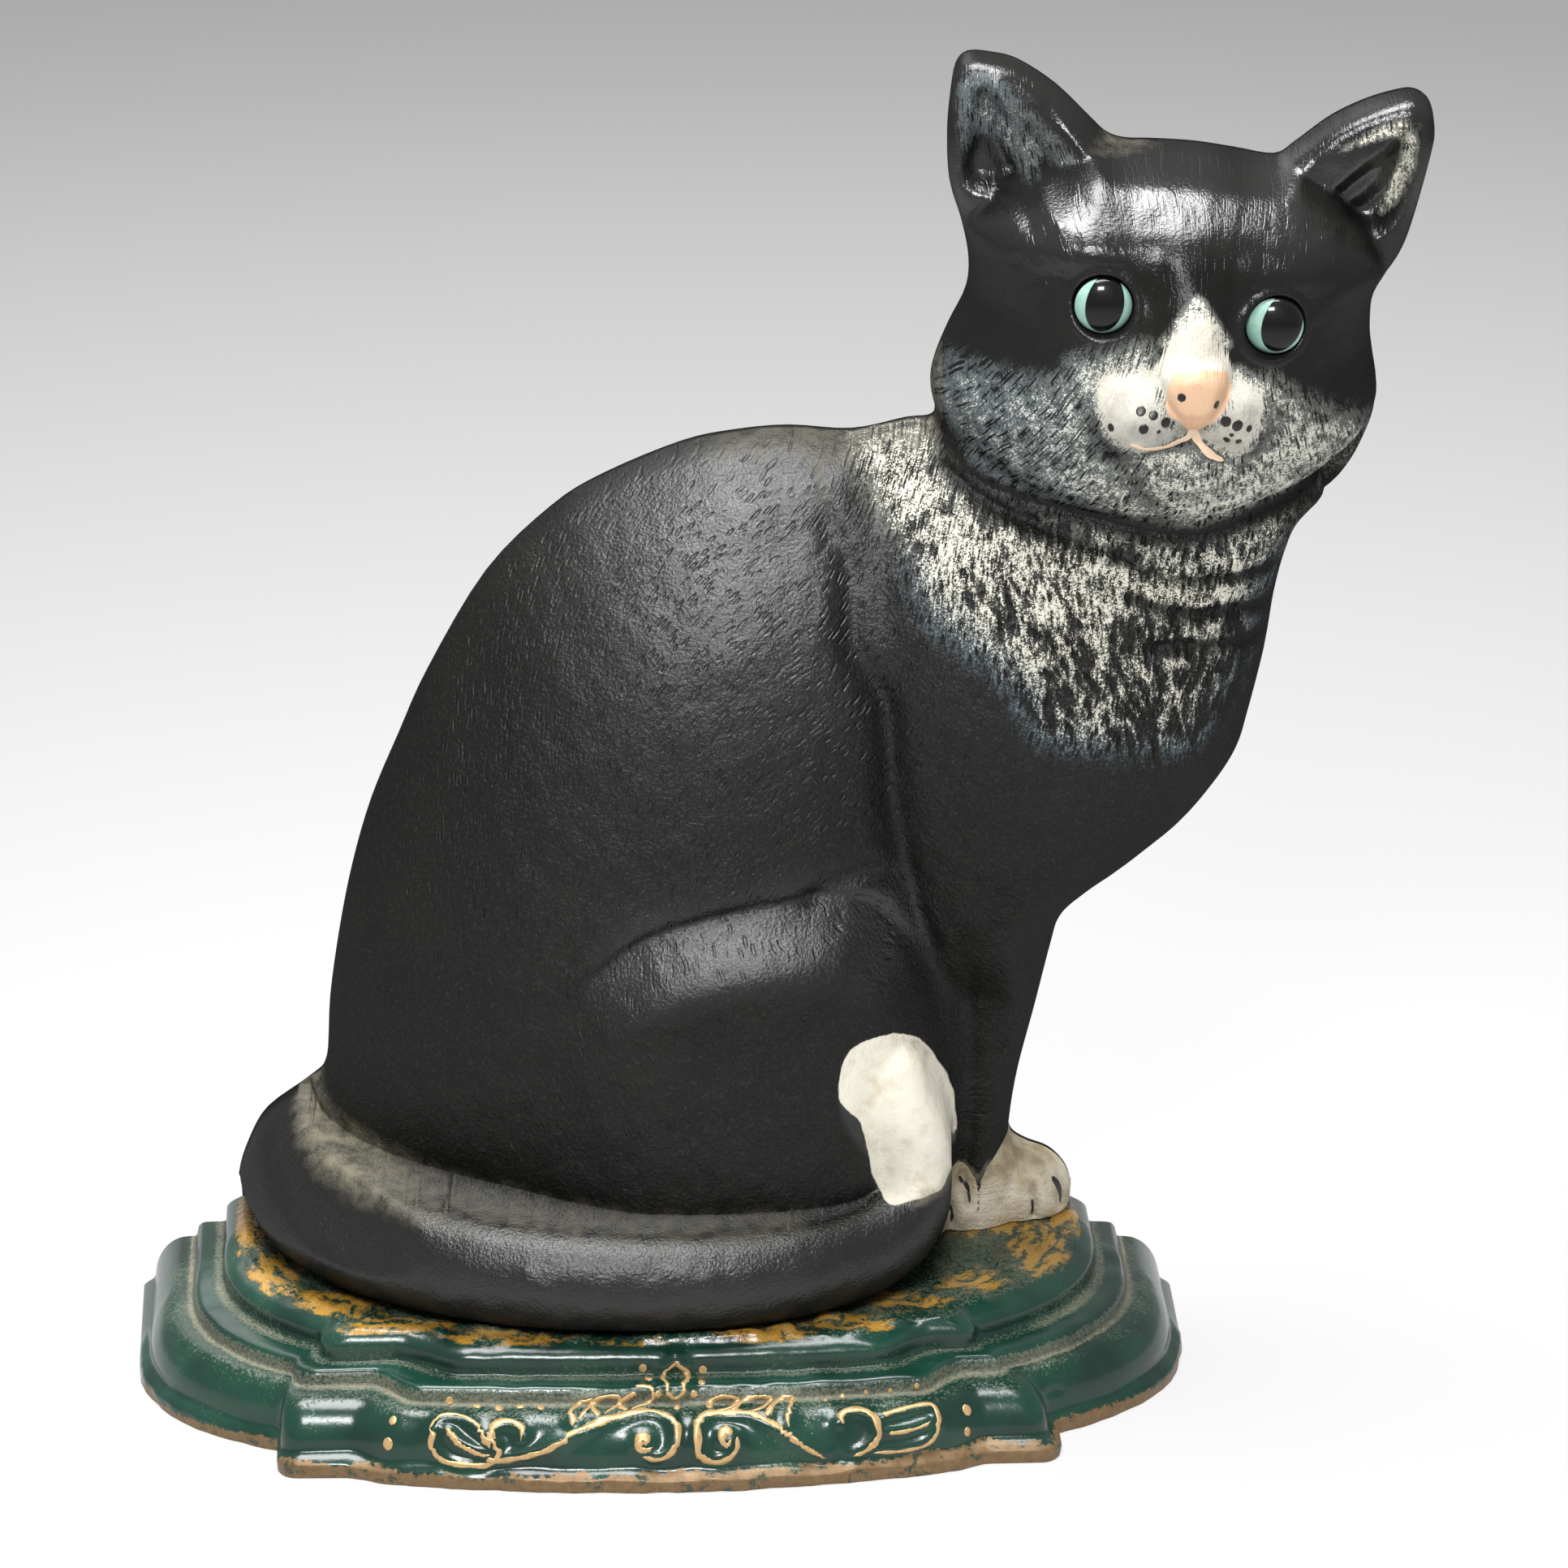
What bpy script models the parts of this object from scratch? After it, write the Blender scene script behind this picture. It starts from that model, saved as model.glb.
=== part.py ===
"""Cast iron doorstop: a seated cat in half relief, screwed onto a stepped, bow-fronted plinth.

The figure is a hollow shell with a flat, open back, as a casting drawn from a one-sided mould has. Every
point of its front is a depth in front of that flat back, so the modelling is a relief: an outline in the
back plane, and a depth function of the place inside it. Sizes are in millimetres and MM turns them into
metres. X runs to the viewer's right, Y from the viewer to the flat back, and Z up. The origin is on the
floor, under the middle of the bounding box.
"""
import math

import bmesh
import bpy
import numpy as np
from mathutils import Vector
from mathutils.geometry import delaunay_2d_cdt

MM = 0.001

# Overall layout
BACK_Y = 50.8
DECK_HEIGHT = 26.0
SEAT_GAP = 0.3
FIGURE_WALL = 4.5
FIGURE_FLOOR = 5.0
FLASH_WALL = 2.5
EDGE_ROUNDING = 9.0

# Plinth. Each level is half a plan outline, measured from the middle of the flat back
PLINTH_X = -26.6
PLINTH_TURN = math.radians(2.78)
PLINTH_WALL = 5.0
RIM_HEIGHT = 3.2
LEDGE_HEIGHT = 15.4
LIP_HEIGHT = 18.5
DECK_LIP_DROP = 2.6
LOBE_POWER = 2.45
BLOCK_CORNER = 4.0
BASE = dict(half_width=119.3, lobe_start=29.3, lobe_reach=60.4,
            block_half=87.3, block_depth=90.0, block_shift=0.0,
            bow_half=73.0, bow_depth=100.8, bow_shoulder=10.0, bow_sag=0.9)
LIP = dict(half_width=106.0, lobe_start=25.0, lobe_reach=60.0,
           block_half=78.5, block_depth=74.5, block_shift=-4.5,
           bow_half=66.0, bow_depth=86.5, bow_shoulder=11.0, bow_sag=0.3)
DECK = dict(half_width=99.4, lobe_start=19.3, lobe_reach=58.4,
            block_half=73.0, block_depth=71.0, block_shift=-4.0,
            bow_half=60.0, bow_depth=80.5, bow_shoulder=15.0, bow_sag=0.35)

# Eyes: domed buttons on a shank, each in a round socket in the face
EYE_RADIUS = 6.4
EYE_RISE = 3.6
EYE_EDGE = 1.6
EYE_CLEARANCE = 0.3
SHANK_RADIUS = 2.0
SHANK_BEHIND_WALL = 3.0
SOCKET_SINK = 0.5
EYES = {"left_eye": (71.8, 228.7), "right_eye": (108.9, 223.6)}

# Screws that hold the figure down on the plinth
SCREW_RADIUS = 3.0
SCREW_CLEARANCE = 0.3
SCREW_DEPTH = 21.0
SCREW_HEAD_RADIUS = 5.5
SCREW_HEAD_HEIGHT = 3.4
SCREW_SLOT_WIDTH = 1.4
SCREW_SLOT_DEPTH = 1.6
BOSS_RADIUS = 8.0
BOSS_HEIGHT = 13.0
WASHER_RADIUS = 7.5
WASHER_THICKNESS = 1.4
SCREWS = {"left": -72.0, "right": 8.0}

# Fineness of the relief's triangles
BODY_STEP = 5.2
FACE_STEP = 2.7
FEATURE_STEP = 2.8
CORE_STEP = 5.6

# The figure's outline in the back plane: place across, and height above the deck
OUTLINE = [
    (43, 274.4), (40.4, 271.6), (39.2, 264), (38.7, 256), (39.2, 246), (41.6, 238), (43.5, 229),
    (43.2, 221), (39.3, 212.5), (36.4, 205), (35.4, 199), (36.3, 191.5), (30, 190.2), (18, 187.6),
    (4, 188.4), (-8, 187.3), (-19.7, 184.7), (-37.2, 177.1), (-49, 169.4), (-63.9, 154),
    (-77.3, 130.7), (-84.2, 115), (-90.7, 99.2), (-95.3, 83.3), (-98.6, 67.3), (-101, 51.2),
    (-102.2, 35.5), (-106, 30.5), (-116.1, 22.6), (-120.7, 14.4), (-123.2, 6.2), (-122.5, 0),
    (-122, -46), (68, -46), (69.2, 0), (69.3, 4), (67.8, 8.5), (64, 12.5), (58.5, 14.8),
    (55.2, 17.5), (55, 22.6), (56.8, 34.9), (60.6, 51.2), (64.2, 67.3), (66, 73.5), (70, 78.5),
    (81, 87), (93, 97.5), (100.7, 107.1), (105.3, 115), (107.5, 122.9), (110.9, 138.5),
    (112.8, 152), (115.3, 162.5), (118.5, 169.4), (126.7, 177.1), (131.2, 184.7), (133.8, 192.4),
    (134.2, 199.9), (133, 207.5), (132.3, 214), (133.1, 222), (138.1, 230), (140.9, 237.5),
    (144.5, 252.3), (145.2, 258), (144, 263.4), (140.5, 266), (136, 265.5), (129.6, 263.4),
    (122.4, 259.7), (115, 254), (110.5, 251.2), (101.8, 252.6), (93, 254), (84, 254.6),
    (77.5, 254.8), (73.5, 256.2), (69.8, 259.7), (62.3, 267.1), (54, 272.6), (48, 274.2),
]

# Groove between the trunk and the shoulder, and on down the front of the thigh
SHOULDER_CREASE = [(10.8, 184), (13, 174), (17.1, 164.3), (18, 149.1), (25.2, 135), (26.2, 116.9),
          (29.1, 99.8), (34.8, 75.7), (38, 59), (40.5, 43.2), (43, 16)]
CREASE_DEPTH = 2.6
CREASE_WIDTH = 3.4

# The fold where the jaw sits on the neck, with smaller folds of skin below it
JAW_CREASE = [(38, 192), (44, 185), (55.4, 180.5), (74.7, 176), (85.4, 173), (96, 172.5),
              (107, 175.5), (118, 179), (127, 186)]
JAW_DEPTH = 3.2
JAW_WIDTH = 3.6
FOLD_PITCH = 7.5
FOLD_DEPTH = 1.1

# Edge of the thigh, which stands proud of the flank
THIGH = [(-44.8, 70), (-41, 75), (-26.7, 86), (-8.8, 91.5), (9, 93), (21, 90.5), (28, 82),
         (34, 67), (38, 48), (40, 16), (38, -20), (-70, -20), (-62, 40)]
THIGH_STEP = 5.4
THIGH_SLOPE = 7.0

# Hollow fronts of the ears
EAR_HOLLOWS = [
    [(44.3, 269.5), (41.2, 258), (41.4, 247), (52, 244.5), (62, 251), (62, 257), (51, 268)],
    [(141, 262), (128, 252.5), (120.5, 244.5), (125, 237), (133, 235), (139, 242), (142.5, 255)],
]
EAR_HOLLOW_DEPTH = 5.0

# The tail: across, height of its middle above the deck, depth of its middle, radius
TAIL = [(-109, 14, -6, 14.5), (-108, 14, 14, 14.3), (-102.5, 13.5, 34, 13.8), (-90, 13, 50, 13.2),
        (-72, 12.5, 61.5, 12.5), (-50, 12, 68.5, 12), (-22, 11.7, 70, 11.6), (2, 11.6, 65, 11.3),
        (20, 12, 54.5, 10.8), (29, 16, 47, 10), (32, 24, 44, 9), (31, 34, 43, 8.8),
        (26.5, 44, 43, 9.6), (25, 49, 42, 9.8)]


# Foreleg: across, height above the deck, depth, radius
FORELEG = [(64, 114, 36, 34), (54, 74, 27, 21), (49, 44, 21, 14), (47, 19, 19, 13), (46, -6, 19, 13)]

# Swellings of the face: centre, reach across and along, and height
NOSE_TIP = ((91.5, 212.5), (9.0, 9.5), 13.5)
BRIDGE = ((91.0, 228.0), (9.5, 24.0), 6.5)
LEFT_PAD = ((79.5, 205.0), (13.5, 12.0), 9.5)
RIGHT_PAD = ((102.5, 205.0), (12.5, 11.5), 9.0)
CHIN = ((91.0, 191.5), (15.0, 11.0), 6.0)
BROWS = [((63, 241.5), (17, 8), 2.6), ((114, 236), (14, 8), 2.2),
         ((52, 202), (17, 17), 2.4), ((120, 202), (15, 17), 2.4)]
EYE_HOLLOW = 2.2


def smooth_max(a, b, blend):
    """The larger of two depths, with the crease between them filleted over the blend."""
    return 0.5 * (a + b + np.sqrt((a - b) ** 2 + blend * blend))


def smooth_min(a, b, blend):
    """The smaller of two depths, with the ridge between them rounded over the blend."""
    return 0.5 * (a + b - np.sqrt((a - b) ** 2 + blend * blend))


def smooth_step(start, end, value):
    """0 before start, 1 after end, and an S curve between them."""
    t = np.clip((value - start) / (end - start), 0.0, 1.0)
    return t * t * (3.0 - 2.0 * t)


def spline(points, steps, closed):
    """A smooth curve through the points, as a row of places with steps to a span."""
    knots = np.array(points, float)
    if closed:
        knots = np.vstack([knots[-1], knots, knots[:2]])
    else:
        knots = np.vstack([2 * knots[0] - knots[1], knots, 2 * knots[-1] - knots[-2]])
    row = []
    for before, start, end, after in zip(knots, knots[1:], knots[2:], knots[3:]):
        for t in np.arange(steps) / steps:
            row.append(0.5 * (2 * start + (end - before) * t
                              + (2 * before - 5 * start + 4 * end - after) * t * t
                              + (3 * start - before - 3 * end + after) * t ** 3))
    if not closed:
        row.append(knots[-2])
    return np.array(row)


def nearest(x, z, start, end):
    """The share along a segment nearest to each place, and the squared distance there."""
    run = end[:2] - start[:2]
    share = ((x - start[0]) * run[0] + (z - start[1]) * run[1]) / max(run @ run, 1e-9)
    share = np.clip(share, 0.0, 1.0)
    return share, (x - start[0] - share * run[0]) ** 2 + (z - start[1] - share * run[1]) ** 2


def line_distance(x, z, line):
    """Distance from each place to a line of points."""
    spans = (nearest(x, z, start, end)[1] for start, end in zip(line, line[1:]))
    return np.sqrt(np.minimum.reduce(list(spans)))


def edge_distance(x, z, loop):
    """Distance from each place to a closed loop: positive inside it and negative outside."""
    closed = np.vstack([loop, loop[:1]])
    inside = np.zeros(x.shape, bool)
    for (ax, az), (bx, bz) in zip(closed, closed[1:]):
        if az != bz:
            crosses = (az > z) != (bz > z)
            inside ^= crosses & (x < (bx - ax) * (z - az) / (bz - az) + ax)
    distance = line_distance(x, z, closed)
    return np.where(inside, distance, -distance)


def dome(x, z, centre, radii, depth, lean=0.0, plan=2.0, crown=2.0):
    """A swelling of the relief, leaning by some degrees, square-shouldered for powers above 2."""
    turn = math.radians(lean)
    dx = x - centre[0]
    dz = z - centre[1]
    across = np.abs(dx * math.cos(turn) - dz * math.sin(turn)) / radii[0]
    along = np.abs(dx * math.sin(turn) + dz * math.cos(turn)) / radii[1]
    q = (across ** plan + along ** plan) ** (1.0 / plan)
    swell = depth * np.maximum(1.0 - q ** crown, 0.0) ** (1.0 / crown)
    return np.where(q < 1.0, swell, 30.0 * (1.0 - q))


def swelling(x, z, centre, radii, height, lean=0.0):
    """A soft bump that rises from the surface round it and dies out at its radii."""
    turn = math.radians(lean)
    dx = x - centre[0]
    dz = z - centre[1]
    across = (dx * math.cos(turn) - dz * math.sin(turn)) / radii[0]
    along = (dx * math.sin(turn) + dz * math.cos(turn)) / radii[1]
    return height * np.maximum(1.0 - across ** 2 - along ** 2, 0.0) ** 1.5


def ridge(x, z, path):
    """A rounded ridge along rows of across, height, depth, radius, falling to the back plane."""
    best = np.full(x.shape, -50.0)
    for start, end in zip(path, path[1:]):
        share, squared = nearest(x, z, start, end)
        depth = start[2] + share * (end[2] - start[2])
        radius = start[3] + share * (end[3] - start[3])
        top = depth * np.sqrt(np.maximum(1.0 - squared / radius ** 2, 0.0))
        best = np.maximum(best, np.where(squared < radius ** 2, top, 3.0 * (radius - np.sqrt(squared))))
    return best


def tube(x, z, path):
    """The front half of a round bar: the outermost of the balls strung along its path."""
    best = np.full(x.shape, -50.0)
    for across, height, depth, radius in path:
        squared = (x - across) ** 2 + (z - height) ** 2
        top = depth + np.sqrt(np.maximum(radius ** 2 - squared, 0.0))
        best = np.maximum(best, np.where(squared < radius ** 2, top, -50.0))
    return best


def tube_margin(x, z, path):
    """How far each place lies outside a round bar as seen from the front."""
    margins = (np.hypot(x - across, z - height) - radius for across, height, _, radius in path)
    return np.minimum.reduce(list(margins))


def body_depth(x, z, inset):
    """Trunk, thigh, chest, neck, foreleg and paws."""
    trunk = dome(x, z, (-28, 79), (72, 122), 55, lean=18)
    haunch = dome(x, z, (-16, 40), (62, 76), 56, plan=2.5, crown=2.3)
    chest = dome(x, z, (62, 124), (62, 74), 44, plan=2.3, crown=2.1)
    neck = dome(x, z, (72, 160), (52, 60), 32, plan=2.4, crown=2.4)
    right_paw = dome(x, z, (57, 4.5), (13.5, 12.5), 16, plan=2.2, crown=2.2)
    left_paw = dome(x, z, (43, 4.5), (9, 12.5), 21, plan=2.2, crown=2.2)
    depth = smooth_max(trunk, chest, 3.0)
    depth = smooth_max(depth, neck, 4.0)
    depth = smooth_max(depth, ridge(x, z, np.array(FORELEG, float)), 3.0)
    depth = smooth_max(depth, haunch, 8.0)
    thigh = smooth_step(0.0, THIGH_SLOPE, edge_distance(x, z, THIGH_LOOP))
    depth = depth + THIGH_STEP * thigh * smooth_step(-62.0, -26.0, x)
    groove = CREASE_DEPTH * np.exp(-(line_distance(x, z, SHOULDER_LINE) / CREASE_WIDTH) ** 2)
    depth = depth - groove * smooth_step(3.0, 16.0, inset)
    return smooth_max(depth, smooth_max(right_paw, left_paw, 1.0), 1.5)


def head_depth(x, z):
    """Skull, cheeks, ears with their hollow fronts, and the face: brows, nose, muzzle and chin."""
    skull = dome(x, z, (86, 214), (51, 42.5), 43, plan=2.3, crown=2.4)
    jowls = dome(x, z, (83, 205), (43, 32), 42, plan=2.2, crown=3.2)
    left_ear = dome(x, z, (52, 246), (26, 36), 13, plan=2.5, crown=3.0)
    right_ear = dome(x, z, (129, 242), (26, 34), 13, plan=2.5, crown=3.0)
    depth = smooth_max(skull, jowls, 4.0)
    for centre, reach, height in BROWS:
        depth = depth + swelling(x, z, centre, reach, height)
    muzzle = swelling(x, z, *NOSE_TIP)
    for bump in (BRIDGE, LEFT_PAD, RIGHT_PAD, CHIN):
        muzzle = smooth_max(muzzle, swelling(x, z, *bump), 1.0)
    depth = depth + muzzle - 0.5
    for eye_x, eye_z in EYES.values():
        depth = depth - EYE_HOLLOW * np.exp(-(np.hypot(x - eye_x, z - eye_z) / 9.0) ** 2)
    depth = smooth_max(depth, smooth_max(left_ear, right_ear, 2.0), 3.0)
    for hollow in EAR_LOOPS:
        depth = depth - EAR_HOLLOW_DEPTH * smooth_step(0.0, 5.0, edge_distance(x, z, hollow))
    return depth


OUTLINE_LOOP = spline(OUTLINE, 4, closed=True)
SHOULDER_LINE = spline(SHOULDER_CREASE, 4, closed=False)
JAW_LINE = spline(JAW_CREASE, 4, closed=False)
THIGH_LOOP = spline(THIGH, 3, closed=True)
EAR_LOOPS = [spline(hollow, 3, closed=True) for hollow in EAR_HOLLOWS]
TAIL_PATH = spline(TAIL, 12, closed=False)


def relief(x, z):
    """Depth of the figure's front in front of the flat back, at a height above the deck."""
    inset = edge_distance(x, z, OUTLINE_LOOP)
    edge = FLASH_WALL + EDGE_ROUNDING * np.sign(inset) * np.sqrt(np.abs(inset))
    body = body_depth(x, z, inset)
    jaw = line_distance(x, z, JAW_LINE)
    below = smooth_step(0.0, 3.0, np.interp(x, JAW_LINE[:, 0], JAW_LINE[:, 1]) - z)
    folds = FOLD_DEPTH * np.cos(2.0 * math.pi * jaw / FOLD_PITCH) * np.exp(-jaw / FOLD_PITCH)
    body = body + folds * below * smooth_step(4.0, 14.0, inset)
    depth = smooth_max(body, head_depth(x, z), 1.0)
    fold = JAW_DEPTH * np.exp(-(jaw / JAW_WIDTH) ** 2)
    depth = depth - fold * smooth_step(1.0, 10.0, inset)
    depth = smooth_min(depth, edge, 4.0)
    tail = smooth_min(tube(x, z, TAIL_PATH), 1.3 * edge + 4.0, 1.5)
    return smooth_max(depth, tail, 1.0)


def eye_seat(eye_x, eye_z):
    """Depth of the flat seat in an eye's socket: just under the lowest skin round its rim."""
    around = np.linspace(0.0, 2.0 * math.pi, 16, endpoint=False)
    rim = relief(eye_x + EYE_RADIUS * np.cos(around), eye_z + EYE_RADIUS * np.sin(around))
    return float(rim.min()) - SOCKET_SINK


def core_depth(x, z):
    """Depth of the hollow: the relief worn back by the wall, kept clear behind the eye seats."""
    depth = relief(x, z) - FIGURE_WALL
    for ring in (0.55, 0.85, 1.0):
        reach = ring * FIGURE_WALL
        sag = math.sqrt(FIGURE_WALL ** 2 - reach ** 2)
        for angle in np.linspace(0.0, 2.0 * math.pi, 12, endpoint=False):
            worn = relief(x + reach * math.cos(angle), z + reach * math.sin(angle)) - sag
            depth = np.minimum(depth, worn)
    for eye_x, eye_z in EYES.values():
        clear = np.hypot(x - eye_x, z - eye_z) < EYE_RADIUS + FIGURE_WALL
        depth = np.where(clear, np.minimum(depth, eye_seat(eye_x, eye_z) - FIGURE_WALL), depth)
    return depth


def clear_scene():
    for old in list(bpy.data.objects):
        bpy.data.objects.remove(old)


def new_collection(name):
    collection = bpy.data.collections.new(name)
    bpy.context.scene.collection.children.link(collection)
    return collection


def material(name, colour, roughness, metallic=0.0):
    """A Principled material; the colour is linear red, green and blue."""
    made = bpy.data.materials.new(name)
    made.use_nodes = True
    shader = made.node_tree.nodes["Principled BSDF"]
    shader.inputs["Base Color"].default_value = (*colour, 1.0)
    shader.inputs["Roughness"].default_value = roughness
    shader.inputs["Metallic"].default_value = metallic
    made.diffuse_color = (*colour, 1.0)
    return made


def object_from(bm, name, collection, finish=None, sharp=40.0):
    """Turns a bmesh in millimetres into a named object in metres, shaded smooth up to an angle."""
    bmesh.ops.scale(bm, vec=(MM, MM, MM), verts=bm.verts)
    bmesh.ops.recalc_face_normals(bm, faces=bm.faces)
    mesh = bpy.data.meshes.new(name)
    bm.to_mesh(mesh)
    bm.free()
    mesh.shade_smooth()
    mesh.set_sharp_from_angle(angle=math.radians(sharp))
    if finish:
        mesh.materials.append(finish)
    made = bpy.data.objects.new(name, mesh)
    collection.objects.link(made)
    return made


def as_cutter(made):
    made.hide_render = True
    made.display_type = "WIRE"
    return made


def boolean(target, cutter, operation):
    """Adds a Boolean modifier, which the target keeps."""
    step = target.modifiers.new(f"{operation.lower()} {cutter.name}", "BOOLEAN")
    step.operation = operation
    step.solver = "EXACT"
    step.object = cutter


def turned(name, profile, collection, finish, steps=24):
    """A turned piece: a profile of (radius, height) from top to bottom, swept round Z."""
    mesh = bpy.data.meshes.new(name)
    points = [(radius * MM, 0.0, height * MM) for radius, height in profile]
    mesh.from_pydata(points, [(i, i + 1) for i in range(len(points) - 1)], [])
    if finish:
        mesh.materials.append(finish)
    made = bpy.data.objects.new(name, mesh)
    collection.objects.link(made)
    screw = made.modifiers.new("turn", "SCREW")
    screw.steps = steps
    screw.render_steps = steps
    screw.use_merge_vertices = True
    screw.merge_threshold = 0.00001
    screw.use_smooth_shade = True
    return made


def cylinder(name, radius, bottom, top, x, y, collection, segments=24):
    """An upright round bar between two heights, in millimetres."""
    bm = bmesh.new()
    bmesh.ops.create_cone(bm, cap_ends=True, segments=segments, radius1=radius, radius2=radius,
                          depth=top - bottom)
    bmesh.ops.translate(bm, vec=(x, y, 0.5 * (top + bottom)), verts=bm.verts)
    return object_from(bm, name, collection)


def even_loop(loop, step):
    """The same closed loop with points an even step apart."""
    closed = np.vstack([loop, loop[:1]])
    run = np.concatenate([[0.0], np.cumsum(np.linalg.norm(np.diff(closed, axis=0), axis=1))])
    marks = np.linspace(0.0, run[-1], int(run[-1] / step), endpoint=False)
    return np.stack([np.interp(marks, run, closed[:, 0]), np.interp(marks, run, closed[:, 1])], 1)


def footed_loop(step):
    """The figure's outline, cut off level where it stands on the deck."""
    loop = even_loop(OUTLINE_LOOP, step)
    above = loop[:, 1] > SEAT_GAP + 0.5 * step
    start = int(np.flatnonzero(above & ~np.roll(above, 1))[0])
    arc = np.roll(loop, -start, axis=0)[:int(above.sum())]
    right_to_left = np.linspace(arc[-1][0], arc[0][0], int(abs(arc[-1][0] - arc[0][0]) / step) + 1)
    foot = np.stack([right_to_left, np.full(right_to_left.shape, SEAT_GAP)], 1)
    return np.vstack([arc, foot])


def hex_places(step, left, right, low, high):
    """Places on a triangular grid."""
    rows = np.arange(low, high, step * math.sqrt(0.75))
    across = np.arange(left, right, step)
    x, z = np.meshgrid(across, rows)
    x = x + 0.5 * step * (np.arange(len(rows)) % 2)[:, None]
    return np.stack([x.ravel(), z.ravel()], 1)


def spaced(kept, places, gap):
    """The kept places and each new one that lies at least a gap from all before it."""
    count = len(kept)
    room = np.vstack([kept, np.zeros(places.shape)])
    for place in places:
        if count == 0 or np.min(np.hypot(*(room[:count] - place).T)) > gap:
            room[count] = place
            count += 1
    return room[:count]


def beside(line, offset):
    """A line of places moved sideways by an offset."""
    along = np.gradient(line, axis=0)
    along = along / np.linalg.norm(along, axis=1)[:, None]
    return line + offset * np.stack([-along[:, 1], along[:, 0]], 1)


def feature_places():
    """Places along the steps and folds, in rows either side of each, so that they come out clean."""
    rows = []
    around = np.linspace(0.0, 2.0 * math.pi, 72, endpoint=False)
    for margin in (-0.4, 0.8, -3.4):
        ring = [np.stack([across + (radius + margin) * np.cos(around),
                          height + (radius + margin) * np.sin(around)], 1)
                for across, height, _, radius in TAIL_PATH]
        ring = np.vstack(ring)
        rows.append(ring[tube_margin(ring[:, 0], ring[:, 1], TAIL_PATH) > margin - 0.04])
    rows.append(TAIL_PATH[:, :2])
    for line, offset in ((SHOULDER_LINE, CREASE_WIDTH), (JAW_LINE, JAW_WIDTH)):
        rows.extend([line, beside(line, offset), beside(line, -offset)])
    for loop in EAR_LOOPS:
        rows.extend([loop, beside(loop, 4.0), beside(loop, -4.0)])
    rows.extend([THIGH_LOOP, beside(THIGH_LOOP, -THIGH_SLOPE), beside(THIGH_LOOP, -0.5 * THIGH_SLOPE)])
    return rows


def sheet_places(loop):
    """Places for the relief's corners: rows just inside the edge, features, fine face, body."""
    along = np.roll(loop, -1, axis=0) - np.roll(loop, 1, axis=0)
    along = along / np.linalg.norm(along, axis=1)[:, None]
    inward = np.stack([-along[:, 1], along[:, 0]], 1)
    probe = loop + inward
    if np.median(edge_distance(probe[:, 0], probe[:, 1], loop)) < 0.0:
        inward = -inward

    def inside(places, margin):
        return places[edge_distance(places[:, 0], places[:, 1], loop) > margin]

    places = loop
    for inset in (0.9, 2.6):
        places = spaced(places, inside(loop + inward * inset, 0.8 * inset), 0.7)
    for row in feature_places():
        row = inside(row, 1.6)
        own = spaced(np.zeros((0, 2)), row, FEATURE_STEP)
        places = spaced(places, own, 0.9)
    left, right = OUTLINE_LOOP[:, 0].min(), OUTLINE_LOOP[:, 0].max()
    face = hex_places(FACE_STEP, 58.0, 120.0, 165.0, 240.0)
    places = spaced(places, inside(face, 2.4), 0.72 * FACE_STEP)
    body = hex_places(BODY_STEP, left, right, 0.0, OUTLINE_LOOP[:, 1].max())
    return spaced(places, inside(body, 3.4), 0.62 * BODY_STEP)


def relief_solid(name, collection, finish):
    """The figure as a solid with a flat back: the relief sheet, its edge wall and the back."""
    loop = footed_loop(BODY_STEP)
    places = sheet_places(loop)
    count = len(loop)
    ring = [(i, (i + 1) % count) for i in range(count)]
    corners, _, faces, _, _, _ = delaunay_2d_cdt([Vector(p) for p in places.tolist()], ring, [], 1, 1e-4)
    flat = np.array([tuple(corner) for corner in corners])
    depth = np.maximum(relief(flat[:, 0], flat[:, 1]), 0.5 * FLASH_WALL)
    bm = bmesh.new()
    verts = [bm.verts.new((x, BACK_Y - d, DECK_HEIGHT + z)) for (x, z), d in zip(flat, depth)]
    for face in faces:
        bm.faces.new([verts[i] for i in face])
    bm.normal_update()
    edge = [e for e in bm.edges if e.is_boundary]
    wall = bmesh.ops.extrude_edge_only(bm, edges=edge)["geom"]
    for vert in (item for item in wall if isinstance(item, bmesh.types.BMVert)):
        vert.co.y = BACK_Y
    bmesh.ops.holes_fill(bm, edges=[e for e in bm.edges if e.is_boundary], sides=0)
    return object_from(bm, name, collection, finish)


def core_solid(name, collection):
    """The hollow as a solid: a grid pushed to the worn-back relief, above the figure's floor."""
    low = SEAT_GAP + FIGURE_FLOOR
    left, right = OUTLINE_LOOP[:, 0].min(), OUTLINE_LOOP[:, 0].max()
    high = OUTLINE_LOOP[:, 1].max()
    columns = int((right - left) / CORE_STEP)
    rows = int((high - low) / CORE_STEP)
    bm = bmesh.new()
    bmesh.ops.create_grid(bm, x_segments=columns, y_segments=rows, size=0.5)
    x = np.array([left + (vert.co.x + 0.5) * (right - left) for vert in bm.verts])
    z = np.array([low + (vert.co.y + 0.5) * (high - low) for vert in bm.verts])
    depth = np.maximum(core_depth(x, z), -12.0)
    for vert, px, pz, pd in zip(bm.verts, x, z, depth):
        vert.co = (px, BACK_Y - pd, DECK_HEIGHT + pz)
    edge = [e for e in bm.edges if e.is_boundary]
    wall = bmesh.ops.extrude_edge_only(bm, edges=edge)["geom"]
    for vert in (item for item in wall if isinstance(item, bmesh.types.BMVert)):
        vert.co.y = BACK_Y + 20.0
    bmesh.ops.holes_fill(bm, edges=[e for e in bm.edges if e.is_boundary], sides=0)
    return as_cutter(object_from(bm, name, collection))


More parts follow.
